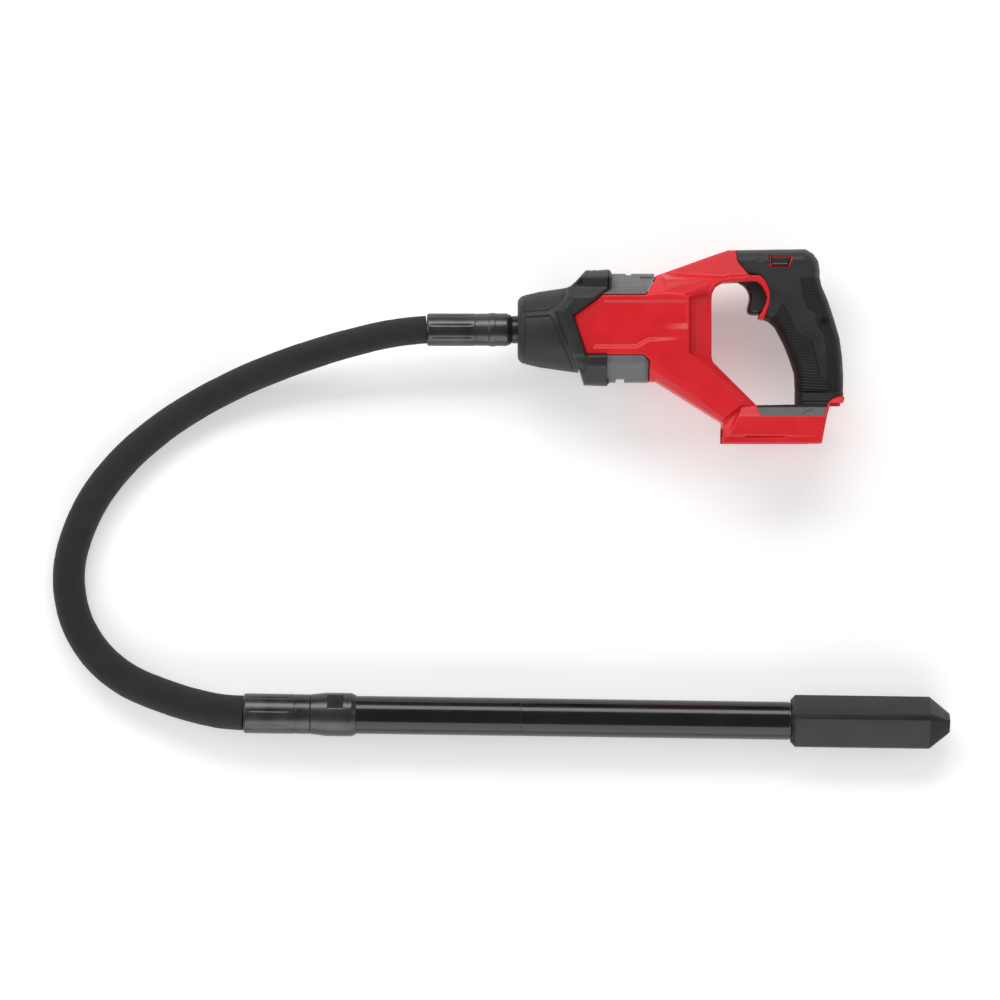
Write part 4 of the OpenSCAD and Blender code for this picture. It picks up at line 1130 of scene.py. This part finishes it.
def make_adapter():
    """A flared ring with two opposite spanner flats, whose ends are cut square."""

    def shape(x, a, r):
        turn = (a - math.radians(FLAT_TURN)) / np.pi
        off = np.abs(turn - np.round(turn)) * np.pi
        flat = FLAT_REACH / np.maximum(np.cos(off), 0.5)
        return np.where((x >= FLAT_X[0]) & (x <= FLAT_X[1]), np.minimum(r, flat), r)

    line = dense(rounded([(63, 8), (63, 18.5), (63.4, 18.9), (68, 19.3), (78, 20.5), (101.4, 20.5),
                          (105.8, 18.7), (106, 17.8)], 0.5), 1.5)
    profile = []
    for a, b in zip(line, line[1:]):
        profile.append(a)
        for x in FLAT_X:
            if a[0] < x < b[0]:
                r = a[1] + (b[1] - a[1]) * (x - a[0]) / (b[0] - a[0])
                profile += [(x - 0.15, r), (x + 0.15, r)]
    profile.append(line[-1])
    make_piece("wand_adapter_steel", [turned(profile, 240, shape)], FERRULE, WAND,
               stands_for=["wand_adapter"], sharp=22)


def make_pipes():
    stations = {"rear_pipe": (92, PIPE_SEAM - 0.2), "front_pipe": (PIPE_SEAM + 0.2, 514)}
    for node, (start, end) in stations.items():
        line = rounded([(start, PIPE_BORE_R), (start, PIPE_R), (end, PIPE_R), (end, PIPE_BORE_R)], 0.3)
        make_piece(node + "_tube", [turned(dense(line, 20), 128)], PIPE, WAND, stands_for=[node])


def make_head():
    """A rolled square bar with cut corners and a pyramid tip, as one bevelled convex form."""
    a, b = HEAD_HALF, HEAD_HALF - HEAD_CHAMFER
    ring = [(a, -b), (a, b), (b, a), (-b, a), (-a, b), (-a, -b), (-b, -a), (b, -a)]
    end = HEAD_START + HEAD_LENGTH
    stations = [(HEAD_START, 0.80), (HEAD_START + 4.5, 1.0), (end - HEAD_TIP, 1.0)]
    points = [(x, y * s, z * s) for x, s in stations for y, z in ring]
    points += [(end, y * HEAD_TIP_HALF, z * HEAD_TIP_HALF) for y in (-1, 1) for z in (-1, 1)]
    mesh = bmesh.new()
    for p in points:
        mesh.verts.new(p)
    hull = bmesh.ops.convex_hull(mesh, input=mesh.verts)
    bmesh.ops.delete(mesh, geom=[g for g in hull["geom_interior"] if isinstance(g, bmesh.types.BMVert)],
                     context="VERTS")
    bmesh.ops.dissolve_limit(mesh, angle_limit=0.02, verts=mesh.verts, edges=mesh.edges)
    bmesh.ops.recalc_face_normals(mesh, faces=mesh.faces)
    bmesh.ops.bevel(mesh, geom=list(mesh.edges), offset=0.9, segments=3, profile=0.6, affect="EDGES",
                    clamp_overlap=True)
    mesh.verts.index_update()
    part = ([tuple(v.co) for v in mesh.verts], [[v.index for v in f.verts] for f in mesh.faces])
    mesh.free()
    roll = WAND @ Matrix.Rotation(math.radians(HEAD_ROLL), 4, "X")
    make_piece("head_bar", [part], HEAD, roll, stands_for=["head_shell"], sharp=24)


# ---- floor and the pieces kept from the CAD ----

FLOOR_HALF = 4.0


def make_floor():
    mesh = bpy.data.meshes.new("floor")
    corners = [(-1, -1), (1, -1), (1, 1), (-1, 1)]
    mesh.from_pydata([(x * FLOOR_HALF, y * FLOOR_HALF, 0) for x, y in corners], [], [[0, 1, 2, 3]])
    pale = surface("floor", grey(0.80), grey(0.84), (0.7, 0.85), cloud=3, grain=400, specular=0.2)
    # The floor glows though it is no lamp: its emission paints out its shadows and lights the object's undersides
    # from below.
    glow = pale.node_tree.nodes["Principled BSDF"].inputs
    glow["Emission Color"].default_value = (1, 1, 1, 1)
    glow["Emission Strength"].default_value = 0.3
    mesh.materials.append(pale)
    floor = bpy.data.objects.new("floor", mesh)
    bpy.context.scene.collection.objects.link(floor)


# Steel nodes that show only as dark lines between the wand's pieces; they take the dark steel as painted shade in
# those seams.
SEEN_IN_SEAMS = ("pipe_joiner", "head_coupling")


def finish_cad_nodes():
    slots = {part["node"]: part["material_slot"] for part in frame["record"]["subparts"]}
    for name, node in frame["nodes"].items():
        # Seam nodes get the dark steel as painted shade between the wand's pieces.
        material = DARK_STEEL if name in SEEN_IN_SEAMS else BY_SLOT.get(slots[name], STEEL)
        for holder in node.material_slots:
            holder.material = material
        if not node.material_slots:
            node.data.materials.append(material)


make_camera()
make_hose()
make_lights()
make_housing()
make_grip()
make_skirt()
make_frame()
make_bumper()
make_nose()
make_drive_ferrule()
make_trigger()
make_spring()
make_lock()
make_head_ferrule()
make_adapter()
make_pipes()
make_head()
make_floor()
finish_cad_nodes()
